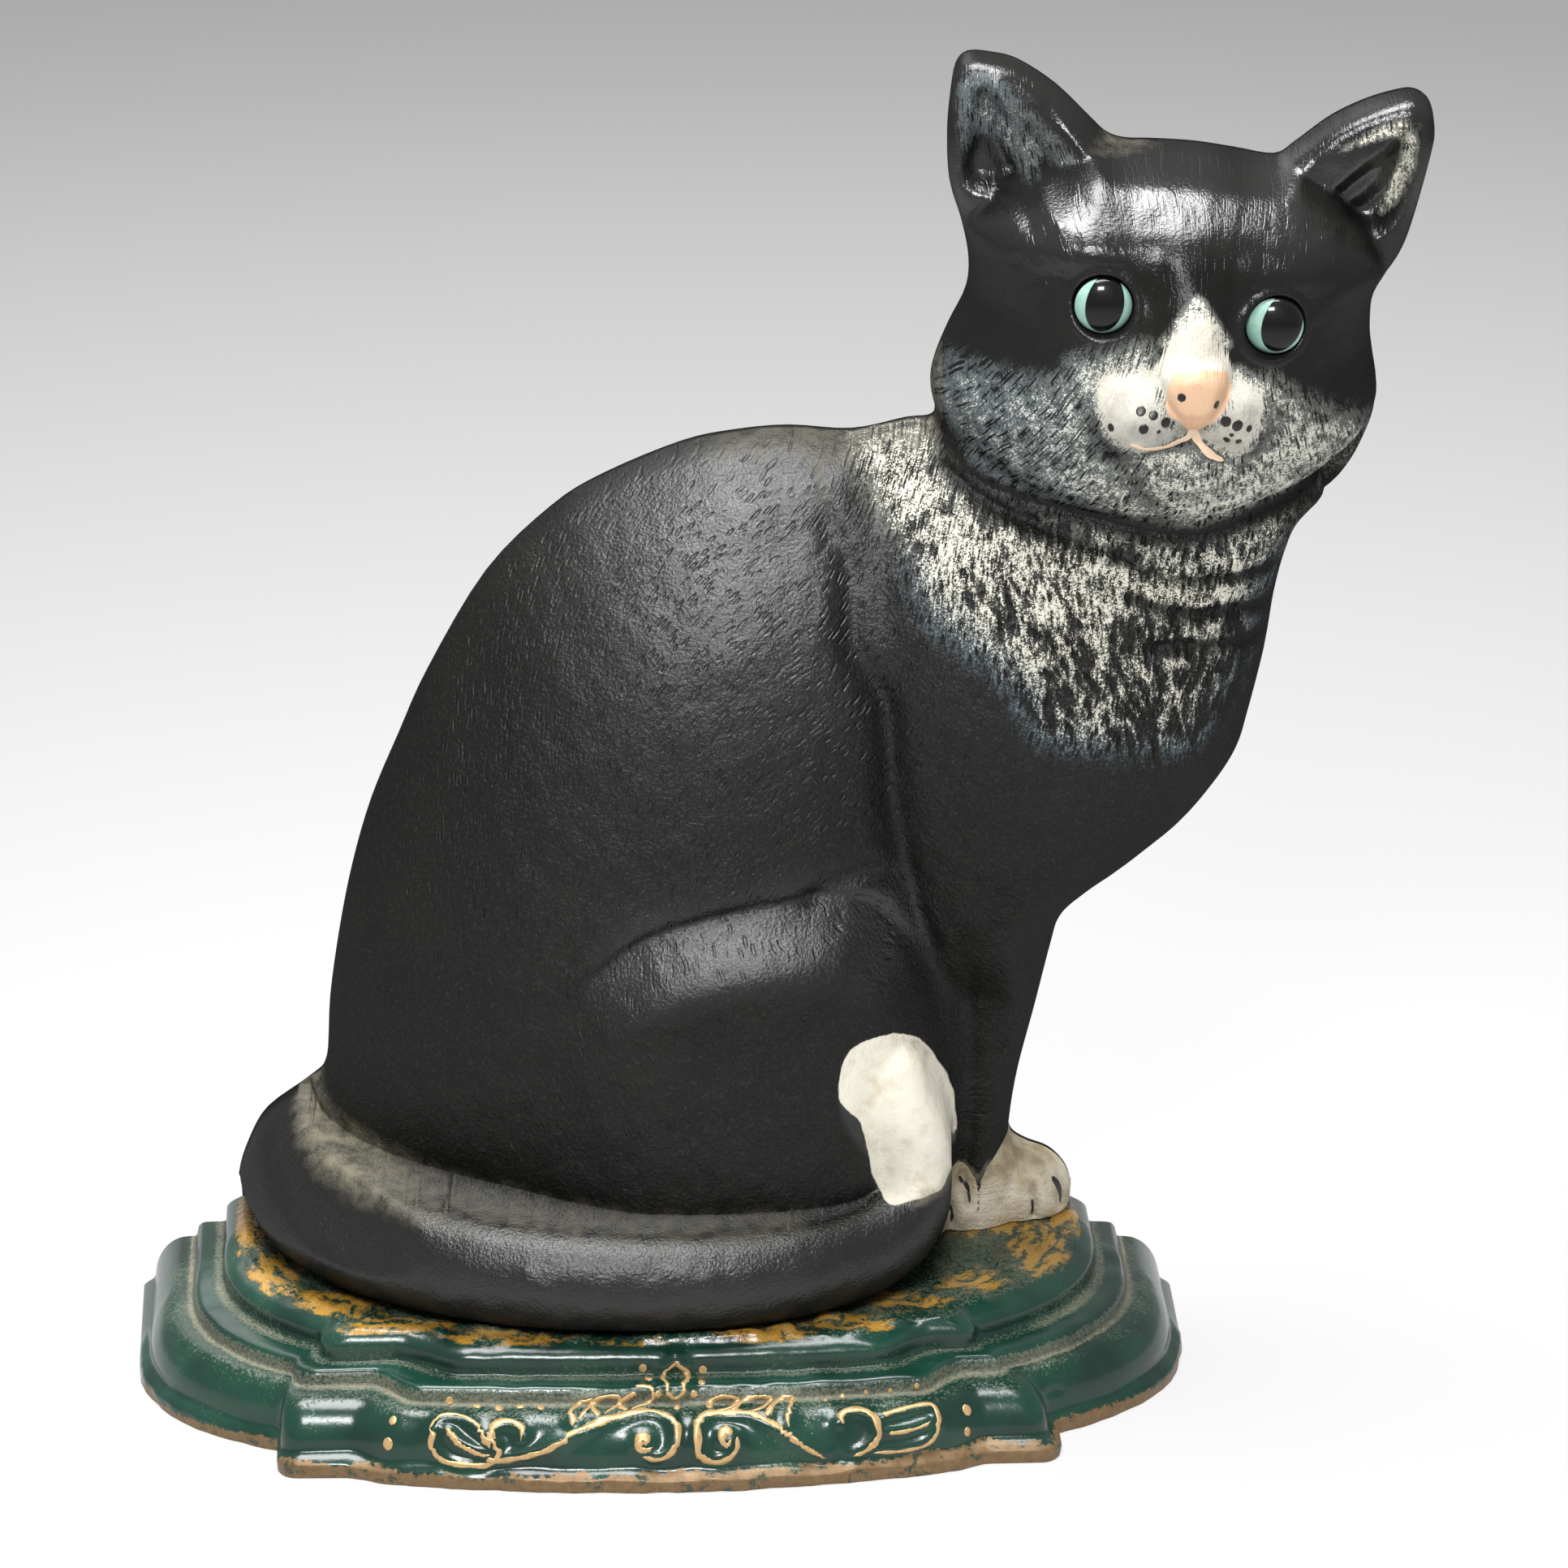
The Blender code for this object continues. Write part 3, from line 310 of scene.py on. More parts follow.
# Gold brush strokes on the bow and its two lips: places on the plinth and half of the brush's width
GOLD_STROKES = [
    ([(-74.6, -42.9, 12.0), (-74.2, -44.6, 8.3), (-71.3, -45.3, 5.8), (-67.0, -46.0, 5.0),
      (-63.0, -46.1, 5.4), (-60.2, -46.0, 7.2), (-60.6, -45.4, 9.6), (-62.5, -44.7, 11.0),
      (-65.2, -43.0, 13.1), (-69.0, -41.3, 14.2), (-72.6, -41.3, 13.9), (-74.6, -42.9, 12.0)], 0.62),
    ([(-71.4, -43.4, 12.6), (-68.5, -44.8, 10.0), (-64.6, -45.5, 8.3), (-61.6, -45.6, 7.8)], 0.7),
    ([(-61.8, -45.2, 9.3), (-61.9, -44.6, 11.3), (-60.7, -43.5, 12.8), (-58.1, -42.9, 13.7),
      (-55.3, -43.8, 12.9), (-54.3, -44.7, 11.6), (-54.6, -45.0, 10.8)], 1.0),
    ([(-62.5, -46.0, 6.4), (-57.1, -46.4, 7.2), (-50.8, -46.4, 8.8), (-46.4, -45.8, 10.7),
      (-41.6, -44.7, 12.3), (-37.4, -43.5, 13.6), (-33.4, -41.9, 14.5), (-28.5, -40.5, 15.0)], 0.72),
    ([(-40.5, -44.6, 12.6), (-35.0, -42.7, 14.2), (-28.5, -40.8, 15.0), (-24.6, -41.0, 14.9),
      (-21.7, -42.6, 13.9), (-20.8, -44.0, 12.4), (-21.0, -45.7, 10.3), (-22.6, -46.5, 8.3),
      (-25.2, -46.8, 7.4), (-28.0, -46.6, 8.2)], 0.95),
    ([(-26.6, -45.9, 10.4), (-28.2, -45.6, 11.4), (-29.0, -45.9, 10.2), (-27.9, -46.3, 9.0),
      (-26.5, -46.0, 9.9)], 1.25),
    ([(-43.2, -43.9, 13.2), (-44.0, -41.0, 15.1), (-41.9, -37.6, 16.2), (-39.6, -37.0, 16.8),
      (-40.2, -40.2, 15.2), (-42.2, -43.2, 13.8)], 0.62),
    ([(-37.8, -42.4, 14.4), (-39.6, -39.0, 15.4), (-37.0, -36.6, 17.5), (-33.4, -36.6, 17.3),
      (-34.3, -39.0, 15.3), (-36.6, -42.0, 14.4)], 0.62),
    ([(-31.8, -40.6, 15.1), (-33.3, -37.6, 16.0), (-29.8, -36.0, 18.3), (-26.0, -36.1, 17.9),
      (-27.2, -37.8, 15.7), (-30.6, -40.3, 15.1)], 0.62),
    ([(-21.0, -29.2, 23.0), (-19.0, -29.9, 20.7), (-18.2, -32.4, 19.2), (-19.3, -35.2, 18.3),
      (-21.1, -36.3, 16.9), (-22.8, -35.4, 18.2), (-23.9, -32.4, 19.2), (-22.9, -30.0, 21.0),
      (-21.0, -29.2, 23.0)], 0.62),
    ([(-15.0, -41.9, 14.1), (-16.3, -43.8, 12.4), (-16.4, -45.6, 9.6), (-14.6, -46.3, 7.3),
      (-11.8, -46.2, 6.3), (-9.2, -45.8, 7.3), (-7.7, -45.2, 9.3), (-7.6, -44.4, 11.0)], 0.95),
    ([(-8.6, -44.4, 11.4), (-10.0, -44.1, 12.2), (-10.9, -44.7, 11.0), (-9.9, -45.2, 9.9),
      (-8.7, -44.8, 10.7)], 1.2),
    ([(-16.2, -43.6, 12.7), (-14.4, -41.3, 14.5), (-10.6, -40.6, 14.7), (-4.7, -40.6, 14.3),
      (0.1, -42.1, 12.8), (4.8, -43.3, 10.4), (9.1, -43.5, 7.8), (12.0, -43.3, 5.9)], 0.85),
    ([(-13.4, -39.6, 15.0), (-13.2, -36.6, 16.0), (-10.4, -35.6, 17.1), (-7.4, -36.0, 16.4),
      (-8.6, -38.9, 15.1), (-12.0, -40.4, 14.8)], 0.62),
    ([(-8.6, -40.2, 14.8), (-5.6, -36.3, 15.9), (-2.0, -34.9, 16.8), (0.1, -35.4, 15.9),
      (-1.6, -38.9, 15.0), (-4.4, -40.6, 14.4)], 0.62),
    ([(-0.8, -41.2, 14.0), (0.8, -37.6, 15.2), (3.2, -34.8, 16.2), (4.9, -35.3, 15.5),
      (4.1, -40.1, 14.1), (3.4, -42.3, 12.1)], 0.62),
    ([(15.2, -40.2, 12.4), (16.4, -38.9, 13.7), (18.6, -38.2, 14.1), (21.2, -38.3, 13.5),
      (23.3, -39.4, 11.7), (23.3, -40.5, 9.3), (21.2, -41.5, 7.1), (18.3, -42.2, 5.7)], 0.9),
    ([(24.7, -38.4, 12.8), (30.7, -36.4, 13.6), (35.2, -35.2, 13.7), (36.5, -36.1, 12.2),
      (36.3, -37.9, 8.9), (34.0, -38.8, 6.8), (28.9, -40.1, 6.0), (22.7, -41.3, 6.3)], 0.62),
    ([(26.0, -39.7, 10.2), (30.7, -38.6, 10.4), (35.0, -37.2, 11.4)], 0.5),
]
# Dots of the same gold, where the tip of the brush was set down, and half of the width of each
GOLD_DOTS = [
    ((-83.4, -40.5, 13.2), 0.9), ((-84.5, -42.8, 8.6), 1.2), ((-71.0, -36.7, 16.0), 0.9),
    ((-64.9, -37.8, 15.5), 0.8), ((-60.0, -38.7, 15.3), 0.9), ((-55.3, -37.9, 15.5), 0.8),
    ((-50.8, -38.5, 15.4), 0.8), ((43.6, -32.3, 11.7), 1.1), ((43.7, -34.5, 7.4), 0.9),
    ((12.2, -34.9, 15.5), 0.5), ((16.0, -33.4, 15.7), 0.6), ((21.2, -32.6, 16.1), 0.5),
    ((26.6, -31.9, 16.2), 0.5), ((32.5, -30.9, 16.9), 0.6), ((-28.3, -30.2, 20.9), 0.9),
    ((-27.0, -32.1, 19.3), 0.8), ((-25.2, -36.0, 17.6), 0.8), ((-20.7, -38.6, 15.4), 0.7),
    ((-15.0, -29.6, 20.2), 0.9), ((-15.2, -33.6, 19.1), 0.8), ((-16.9, -36.0, 17.4), 0.8),
]
# Width of the worn gold on the foot, from one end of the plinth to the other
GOLD_FOOT = [(-146, 3.2), (-118, 3.4), (-108, 4.6), (-99, 4.0), (-80, 4.6), (-62, 3.8), (-45, 4.6),
             (-27, 5.0), (-12, 5.6), (18, 5.3), (36, 5.9), (52, 5.6), (64, 5.2), (83, 4.6), (95, 3.8)]
# Where yellow was dragged over the deck: middle, reach each way, and how much of it held
YELLOW_DABS = [(-121, 36, 7, 20, 1.0), (-113, 6, 8, 15, 1.0), (-98, -8, 13, 8, 1.0),
               (-83, -19, 14, 5, 1.0), (-60, -25, 20, 4, 0.85), (-33, -27, 18, 3, 0.5),
               (-3, -23, 14, 5, 1.0), (16, -17, 15, 5, 0.9), (30, -6, 12, 7, 0.75),
               (46, 4, 13, 9, 0.7), (61, 20, 8, 14, 1.0), (50, 33, 14, 6, 1.0), (67, 38, 5, 12, 1.0)]

# The plinth's skin from the foot up, as (plan level, height)
PROFILE = [(0.0, 0.0), (-0.01, 1.2), (-0.01, RIM_HEIGHT - 0.4), (0.06, RIM_HEIGHT + 0.6),
           (0.15, RIM_HEIGHT + 1.4), (0.2, RIM_HEIGHT + 2.4)]
for angle in np.linspace(0.0, 0.5 * math.pi, 7)[1:]:
    PROFILE.append((0.2 + 0.62 * (1.0 - math.cos(angle)),
                    RIM_HEIGHT + 2.0 + (LEDGE_HEIGHT - RIM_HEIGHT - 2.0) * math.sin(angle)))
DECK_LIP = DECK_HEIGHT - DECK_LIP_DROP
PROFILE += [(0.93, LEDGE_HEIGHT + 0.2), (0.965, LIP_HEIGHT - 1.3), (1.0, LIP_HEIGHT - 0.2),
            (1.14, LIP_HEIGHT + 0.5), (1.45, LIP_HEIGHT + 0.7), (1.8, LIP_HEIGHT + 0.8),
            (1.93, LIP_HEIGHT + 1.3), (1.96, DECK_LIP - 1.2), (2.0, DECK_LIP - 0.1),
            (2.2, DECK_LIP + 1.1), (2.6, DECK_HEIGHT - 0.1)]
DECK_INSETS = np.arange(1.0, 46.0, 1.2)
DECK_PLACE = 2.6
HOLLOW_RINGS = 14

skin = []
for place, height in spline(PROFILE, 5, closed=False):
    plan = plan_ring(blend_level(place), 0.0, 0.0)
    skin.append(np.column_stack([plan, np.full((len(plan), 2), (height, place))]))
for inset in DECK_INSETS:
    plan = plan_ring(blend_level(DECK_PLACE), inset, 0.0)
    skin.append(np.column_stack([plan, np.full((len(plan), 2), (DECK_HEIGHT, DECK_PLACE + 0.01 * inset))]))
ring_size = len(skin[0])
skin_rings = len(skin)
skin = np.vstack(skin)
x, y, z, place = skin.T
edge_turn = np.arctan2(y - BACK_Y, x - PLINTH_X)
run = 110.0 * edge_turn


def lump(place, centre, reach):
    """1 at a centre, dying out at a reach either side of it."""
    return np.maximum(1.0 - ((place - centre) / reach) ** 2, 0.0) ** 1.5


def nearest_of(places, marks):
    """Distance from each place to the nearest of many marks."""
    best = np.full(len(places), 1e9)
    for start in range(0, len(marks), 64):
        gap = places[:, None, :] - marks[None, start:start + 64, :]
        best = np.minimum(best, np.sqrt((gap ** 2).sum(2)).min(1))
    return best


# The foundry's edge is uneven: the foot flares a little here and there
out_x = x - PLINTH_X
out_y = (y - 5.0) * 2.2
out_run = np.hypot(out_x, out_y) + 1e-6
foot = (1.0 - smooth_step(3.2, 6.5, z)) * smooth_step(0.0, 8.0, BACK_Y - y)
wobble = foot * (0.35 * waves(run, z, 16.0, 11) + 0.2 * waves(run, z, 5.0, 12) - 0.3)
x = x + wobble * out_x / out_run
y = y + wobble * out_y / out_run
z = z + 0.5 * lump(z, RIM_HEIGHT + 0.8, 2.2) * waves(run, 0.0 * z, 21.0, 13)

# The deck is modelled as rough ground in front of the cat, with a row of little mounds by its tail
FOOT_LINE = [(-124, 50), (-118, 32), (-104, 12), (-90, -4), (-72, -15), (-50, -20.5), (-22, -22), (2, -17),
             (20, -5), (30, 8), (44, 28), (58, 33), (70, 50)]
MOUNDS = [(-14, -25.0, 5.0), (-5, -24.0, 4.5), (3, -21.5, 4.0), (-24, -25.6, 4.0), (14, -15, 4),
          (-62, -21.5, 4)]
ahead = np.interp(x, *np.array(FOOT_LINE, float).T) - y
ground = 0.42 * waves(x, y, 9.0, 3) + 0.3 * waves(x, y, 4.2, 4) + 0.14 * waves(x, y, 2.2, 5)
for mound_x, mound_y, reach in MOUNDS:
    ground = ground + 1.5 * blob(x, y, (mound_x, mound_y), (reach, 0.5 * reach))
z = z + np.clip(ground, -1.2, 1.6) * smooth_step(2.35, 2.62, place) * smooth_step(0.4, 3.0, ahead)
z = z + 0.16 * waves(run, z, 12.0, 6) * smooth_step(0.2, 0.5, place)

# Raised scrollwork under the gold lines, and two blow-holes near the right shoulder
scroll = np.vstack([spline(points, 8, closed=False) for points, _ in GOLD_STROKES])
near = np.flatnonzero((x > -92) & (x < 52) & (y < -24) & (z < 25.5))
raised = 1.3 * bell(nearest_of(np.stack([x, y, z], 1)[near], scroll), 1.6)
y[near] -= 0.8 * raised
z[near] += 0.5 * raised
for pit in ((52.8, -15.6, 19.0), (63.3, -18.8, 9.5)):
    hole = 0.9 * np.exp(-((x - pit[0]) ** 2 + (y - pit[1]) ** 2 + (z - pit[2]) ** 2) / 1.4)
    y = y + hole

inner = []
roof = DECK_HEIGHT - PLINTH_WALL
for share in np.linspace(0.0, 1.0, HOLLOW_RINGS):
    level, height = (np.interp(share, [0.0, 0.2, 0.55, 1.0], row)
                     for row in ([0.0, 0.2, 0.8, 1.9], [0.0, 4.2, LEDGE_HEIGHT - PLINTH_WALL, roof]))
    plan = plan_ring(blend_level(level), PLINTH_WALL, PLINTH_WALL)
    inner.append(np.column_stack([plan, np.full(len(plan), height)]))
inner = np.vstack(inner)
corners = np.vstack([np.stack([x, y, z], 1), inner])
corners[:, 1] = np.minimum(corners[:, 1], BACK_Y)
corners[:, 2] = np.maximum(corners[:, 2], 0.0)


def ring_faces(first, second, size):
    """Quads between two closed rings of corners, given each ring's first corner."""
    return [(first + i, first + (i + 1) % size, second + (i + 1) % size, second + i) for i in range(size)]


faces = []
for ring in range(skin_rings - 1):
    faces += ring_faces(ring * ring_size, (ring + 1) * ring_size, ring_size)
faces.append(tuple(range((skin_rings - 1) * ring_size, skin_rings * ring_size)))
inner_start = skin_rings * ring_size
faces += ring_faces(inner_start, 0, ring_size)
for ring in range(HOLLOW_RINGS - 1):
    faces += ring_faces(inner_start + (ring + 1) * ring_size, inner_start + ring * ring_size, ring_size)
faces.append(tuple(range(len(corners) - 1, len(corners) - 1 - ring_size, -1)))


def give(piece, name, values):
    """Keeps a number for each corner of a piece, for its material to read."""
    kind, field = ("FLOAT_VECTOR", "vector") if np.ndim(values) == 2 else ("FLOAT", "value")
    store = piece.data.attributes.new(name, kind, "POINT")
    store.data.foreach_set(field, np.ascontiguousarray(values, np.float32).ravel())


# Dark green gloss enamel, brushed on over the casting. The eye sees a deep green with bright lines
# along each lip, grey-beige dust in every step, yellow dragged over the ground and a worn gold foot.
enamel, tree, out = new_material("dark green gloss enamel")
spot = add(tree, "ShaderNodeTexCoord").outputs["Object"]
grit, speck, patch, chips = [
    add(tree, "ShaderNodeTexNoise", inputs={"Vector": spot, "Scale": scale, "Detail": detail,
                                            "Roughness": rough})
    for scale, detail, rough in ((1400.0, 2.0, 0.5), (620.0, 4.0, 0.7), (75.0, 3.0, 0.5), (300.0, 4.0, 0.65))]
rim, yellow, dust, under = [add(tree, "ShaderNodeAttribute", {"attribute_name": name}).outputs["Fac"]
                            for name in ("gold_foot", "yellow", "dust", "underside")]
brush = add(tree, "ShaderNodeAttribute", {"attribute_name": "brush"}).outputs["Vector"]
drag = add(tree, "ShaderNodeVectorMath", {"operation": "MULTIPLY"}, {0: brush, 1: (0.12, 0.42, 0.0)})
drag = add(tree, "ShaderNodeTexNoise", {"noise_dimensions": "2D"},
           {"Vector": drag, "Scale": 1.0, "Detail": 4.0})

# How much gold is left on the foot, how much yellow held, and how much dust lies
ragged = add(tree, "ShaderNodeMath", {"operation": "MULTIPLY_ADD"}, {0: speck, 1: 3.4, 2: -1.7})
rim = add(tree, "ShaderNodeMath", {"operation": "ADD"}, {0: rim, 1: ragged})
rim = add(tree, "ShaderNodeMapRange", {"interpolation_type": "SMOOTHSTEP"}, {"Value": rim, 1: -0.12, 2: 0.2})
chips = add(tree, "ShaderNodeMapRange", inputs={"Value": chips, 1: 0.57, 2: 0.64, 3: 1.0, 4: 0.2})
rim = add(tree, "ShaderNodeMath", {"operation": "MULTIPLY"}, {0: rim, 1: chips})
held, lying = -1.4, -1.05
for texture, weight in ((drag, 2.4), (speck, 2.0)):
    held = add(tree, "ShaderNodeMath", {"operation": "MULTIPLY_ADD"}, {0: texture, 1: weight, 2: held})
held = add(tree, "ShaderNodeMath", {"operation": "MULTIPLY"}, {0: yellow, 1: held})
held = add(tree, "ShaderNodeMapRange", {"interpolation_type": "SMOOTHSTEP"},
           {"Value": held, 1: 0.3, 2: 0.72, 4: 0.92})
for texture, weight in ((grit, 1.3), (patch, 0.8), (dust, 1.0)):
    lying = add(tree, "ShaderNodeMath", {"operation": "MULTIPLY_ADD"}, {0: texture, 1: weight, 2: lying})
lying = add(tree, "ShaderNodeMapRange", inputs={"Value": lying, 1: 0.3, 2: 1.15, 4: 0.82})

greens = add(tree, "ShaderNodeMapRange", inputs={"Value": patch, 1: 0.35, 2: 0.7})
colour, bronze, ochres, rusts = [
    add(tree, "ShaderNodeMixRGB", inputs={"Fac": share, "Color1": srgb(first), "Color2": srgb(second)})
    for share, first, second in ((greens, "#0e2e24", "#184234"), (speck, "#523f29", "#977a54"),
                                 (patch, "#8f6a22", "#cf9a34"), (patch, "#2a211c", "#54392a"))]
for share, coat in ((rim, bronze), (held, ochres), (lying, srgb("#8f8a76")), (under, rusts)):
    colour = add(tree, "ShaderNodeMixRGB", inputs={"Fac": share, "Color1": colour, "Color2": coat})
dull = add(tree, "ShaderNodeMath", {"operation": "MAXIMUM"}, {0: lying, 1: under})
rough = add(tree, "ShaderNodeMapRange", inputs={"Value": dull, 3: 0.2, 4: 0.9})
rough = add(tree, "ShaderNodeMath", {"operation": "MULTIPLY_ADD"}, {0: rim, 1: 0.25, 2: rough})
sheen = add(tree, "ShaderNodeMath", {"operation": "MULTIPLY"}, {0: rim, 1: 0.35})
height = lying
for texture, weight in ((speck, 0.22), (held, 0.12)):
    height = add(tree, "ShaderNodeMath", {"operation": "MULTIPLY_ADD"}, {0: texture, 1: weight, 2: height})
bump = add(tree, "ShaderNodeBump", inputs={"Height": height, "Distance": 0.0004, "Strength": 0.6})
paint = add(tree, "ShaderNodeBsdfPrincipled", inputs={"Base Color": colour, "Roughness": rough,
                                                      "Metallic": sheen, "Normal": bump, "IOR": 1.5})
tree.links.new(paint.outputs[0], out.inputs["Surface"])

plinth = mesh_object("plinth_casting", corners, faces, [enamel])
x, y, z = corners.T
place = np.concatenate([place, np.zeros(len(inner))])
outside = np.concatenate([np.ones(inner_start), np.zeros(len(inner))])
run = np.concatenate([run, np.zeros(len(inner))])
lobes = np.maximum(smooth_step(-104, -112, x), smooth_step(56, 66, x))
foot_top = 0.82 * np.interp(x, *np.array(GOLD_FOOT, float).T) - 0.7 * lobes
foot_top = foot_top + 0.8 * waves(run, 0 * z, 17.0, 21) + 0.4 * waves(run, 0 * z, 6.0, 22)
give(plinth, "gold_foot", np.where(outside > 0.5, foot_top - z, 0.0))
dusty = 0.9 * lump(place, 0.9, 0.14) + (0.5 + 0.2 * lobes) * lump(place, 1.74, 0.3)
dusty = np.maximum.reduce([dusty, lobes * 0.34 * smooth_step(0.3, 0.7, place) * smooth_step(1.05, 0.9, place),
                           0.35 * smooth_step(0.3, 0.7, place) * smooth_step(1.0, 0.9, place),
                           0.46 * smooth_step(2.4, 2.7, place)])
give(plinth, "dust", outside * dusty)
dragged = np.zeros(len(x))
for dab_x, dab_y, reach_x, reach_y, strength in YELLOW_DABS:
    dragged = np.maximum(dragged, strength * blob(x, y, (dab_x, dab_y), (reach_x, reach_y)))
across = np.where(place > DECK_PLACE, 100.0, 7.0) * (place - DECK_PLACE)
give(plinth, "brush", np.stack([run, across, 0.0 * run], 1))
give(plinth, "yellow", dragged * smooth_step(2.15, 2.45, place) * outside)
give(plinth, "underside", 1.0 - outside)
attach(plinth, "root")
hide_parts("plinth")


# The gold ornament: scrolls, petals and dots laid on with a small round brush over the raised work,
# in gold enamel about a fifth of a millimetre thick.
def surface_of(piece):
    """A lookup of the places and directions on a piece's skin, in millimetres."""
    mesh = piece.data
    points = np.empty(3 * len(mesh.vertices))
    mesh.vertices.foreach_get("co", points)
    points = [Vector(p) for p in (points.reshape(-1, 3) / MM).tolist()]
    return BVHTree.FromPolygons(points, [tuple(p.vertices) for p in mesh.polygons])


# A stroke's section, as (share of half of its width, share of its thickness)
BRISTLES = [(-1.0, -0.05), (-0.75, 0.6), (-0.3, 1.0), (0.3, 1.0), (0.75, 0.6), (1.0, -0.05)]


def brushed(name, strokes, skin, finish, thick=0.2):
    """Strokes of thick paint on a skin: each a row of places and half of its width along the row."""
    corners, faces = [], []
    for places, widths in strokes:
        places = np.array(places, float)
        along = np.gradient(places, axis=0)
        widths = np.broadcast_to(widths, len(places))
        start = len(corners)
        for place, run, half in zip(places, along, widths):
            spot, facing, _, _ = skin.find_nearest(Vector(place))
            sideways = Vector(run).cross(facing).normalized()
            for share, lift in BRISTLES:
                near, out_of, _, _ = skin.find_nearest(spot + sideways * half * share)
                corners.append(tuple(near + out_of * thick * lift))
        size = len(BRISTLES)
        for row in range(len(places) - 1):
            for first in range(start + size * row, start + size * row + size - 1):
                faces.append((first, first + 1, first + size + 1, first + size))
        for row in (0, len(places) - 1):
            faces.append(tuple(range(start + size * row, start + size * (row + 1))))
    return mesh_object(name, corners, faces, [finish])


def stroke(points, half, fade=0.45):
    """A brush line through the points: round where it starts and drawn out thin where it ends."""
    row = spline(points, 7, closed=False)
    run = np.concatenate([[0.0], np.cumsum(np.linalg.norm(np.diff(row, axis=0), axis=1))])
    even = np.linspace(0.0, run[-1], max(int(run[-1] / 0.45), 6))
    row = np.stack([np.interp(even, run, axis) for axis in row.T], 1)
    start = np.sqrt(np.clip(1.0 - (1.0 - even / half) ** 2, 0.0, 1.0)) * (even < half) + (even >= half)
    last = even[-1] - even
    end = np.sqrt(np.clip(last / (1.6 * half), 0.0, 1.0))
    swell = 1.0 - fade * even / even[-1] + 0.14 * np.sin(even * 1.3 + len(points))
    return row, np.maximum(half * start * end * swell, 0.04)


def dab(place, half, skin, lean=0.0, long=1.25):
    """One touch of the brush's tip: a short oval."""
    spot, facing, _, _ = skin.find_nearest(Vector(place))
    upward = (Vector((math.sin(lean), 0.0, math.cos(lean))) - facing * facing.z * math.cos(lean)).normalized()
    turns = np.linspace(-1.0, 1.0, 9)
    row = [tuple(spot + upward * half * long * t) for t in turns]
    return row, np.maximum(half * np.sqrt(1.0 - turns ** 2), 0.03)


gold, tree, out = new_material("gold enamel")
spot = add(tree, "ShaderNodeTexCoord").outputs["Object"]
streak = add(tree, "ShaderNodeTexNoise", inputs={"Vector": spot, "Scale": 900.0, "Detail": 3.0})
tint = add(tree, "ShaderNodeMixRGB", inputs={"Fac": streak, "Color1": srgb("#a98450"),
                                             "Color2": srgb("#e2c08c")})
bump = add(tree, "ShaderNodeBump", inputs={"Height": streak, "Distance": 0.0002, "Strength": 0.6})
paint = add(tree, "ShaderNodeBsdfPrincipled", inputs={"Base Color": tint, "Metallic": 0.35, "Roughness": 0.36,
                                                      "Normal": bump})
tree.links.new(paint.outputs[0], out.inputs["Surface"])

plinth_skin = surface_of(plinth)
lines = [stroke(points, 1.2 * half) for points, half in GOLD_STROKES]
lines += [dab(place, half, plinth_skin) for place, half in GOLD_DOTS]
ornament = brushed("gold_scrollwork", lines, plinth_skin, gold)
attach(ornament, "root")


# The cat: one hollow casting, drawn from a one-sided mould, so its back is flat and open. Its front is
# a depth over the place across and up: an outline, swelling forms, folds, and fur cut with a gouge.
SEAT_GAP = 0.3
FIGURE_WALL = 4.5
FIGURE_FLOOR = 5.0
FLASH_WALL = 2.5
EDGE_ROUNDING = 9.0
EYE_RADIUS = 6.4
EYES = {"left_eye": (71.8, 228.7), "right_eye": (108.9, 223.6)}
OUTLINE = [
    (43, 274.4), (40.4, 271.6), (39.2, 264), (38.7, 256), (39.2, 246), (41.6, 238), (43.5, 229),
    (43.2, 221), (39.3, 212.5), (36.4, 205), (35.4, 199), (36.3, 191.5), (30, 190.2), (18, 187.6),
    (4, 188.4), (-8, 187.3), (-19.7, 184.7), (-37.2, 177.1), (-49, 169.4), (-63.9, 154),
    (-77.3, 130.7), (-84.2, 115), (-90.7, 99.2), (-95.3, 83.3), (-98.6, 67.3), (-101, 51.2),
    (-102.2, 35.5), (-106, 30.5), (-116.1, 22.6), (-120.7, 14.4), (-123.2, 6.2), (-122.5, 0),
    (-122, -46), (68, -46), (69.2, 0), (69.3, 4), (67.8, 8.5), (64, 12.5), (58.5, 14.8),
    (55.2, 17.5), (55, 22.6), (56.8, 34.9), (60.6, 51.2), (64.2, 67.3), (66, 73.5), (70, 78.5),
    (81, 87), (93, 97.5), (100.7, 107.1), (105.3, 115), (107.5, 122.9), (110.9, 138.5),
    (112.8, 152), (115.3, 162.5), (118.5, 169.4), (126.7, 177.1), (131.2, 184.7), (133.8, 192.4),
    (134.2, 199.9), (133, 207.5), (132.3, 214), (133.1, 222), (138.1, 230), (140.9, 237.5),
    (144.5, 252.3), (145.2, 258), (144, 263.4), (140.5, 266), (136, 265.5), (129.6, 263.4),
    (122.4, 259.7), (115, 254), (110.5, 251.2), (101.8, 252.6), (93, 254), (84, 254.6),
    (77.5, 254.8), (73.5, 256.2), (69.8, 259.7), (62.3, 267.1), (54, 272.6), (48, 274.2),
]
SHOULDER_CREASE = [(10.8, 184), (13, 174), (17.1, 164.3), (18, 149.1), (25.2, 135), (26.2, 116.9),
                   (29.1, 99.8), (34.8, 75.7), (38, 59), (40.5, 43.2), (43, 16)]
CREASE_DEPTH = 2.6
CREASE_WIDTH = 3.4
JAW_CREASE = [(38, 192), (44, 185), (55.4, 180.5), (74.7, 176), (85.4, 173), (96, 172.5),
              (107, 175.5), (118, 179), (127, 186)]
JAW_DEPTH = 3.2
JAW_WIDTH = 3.6
FOLD_PITCH = 7.5
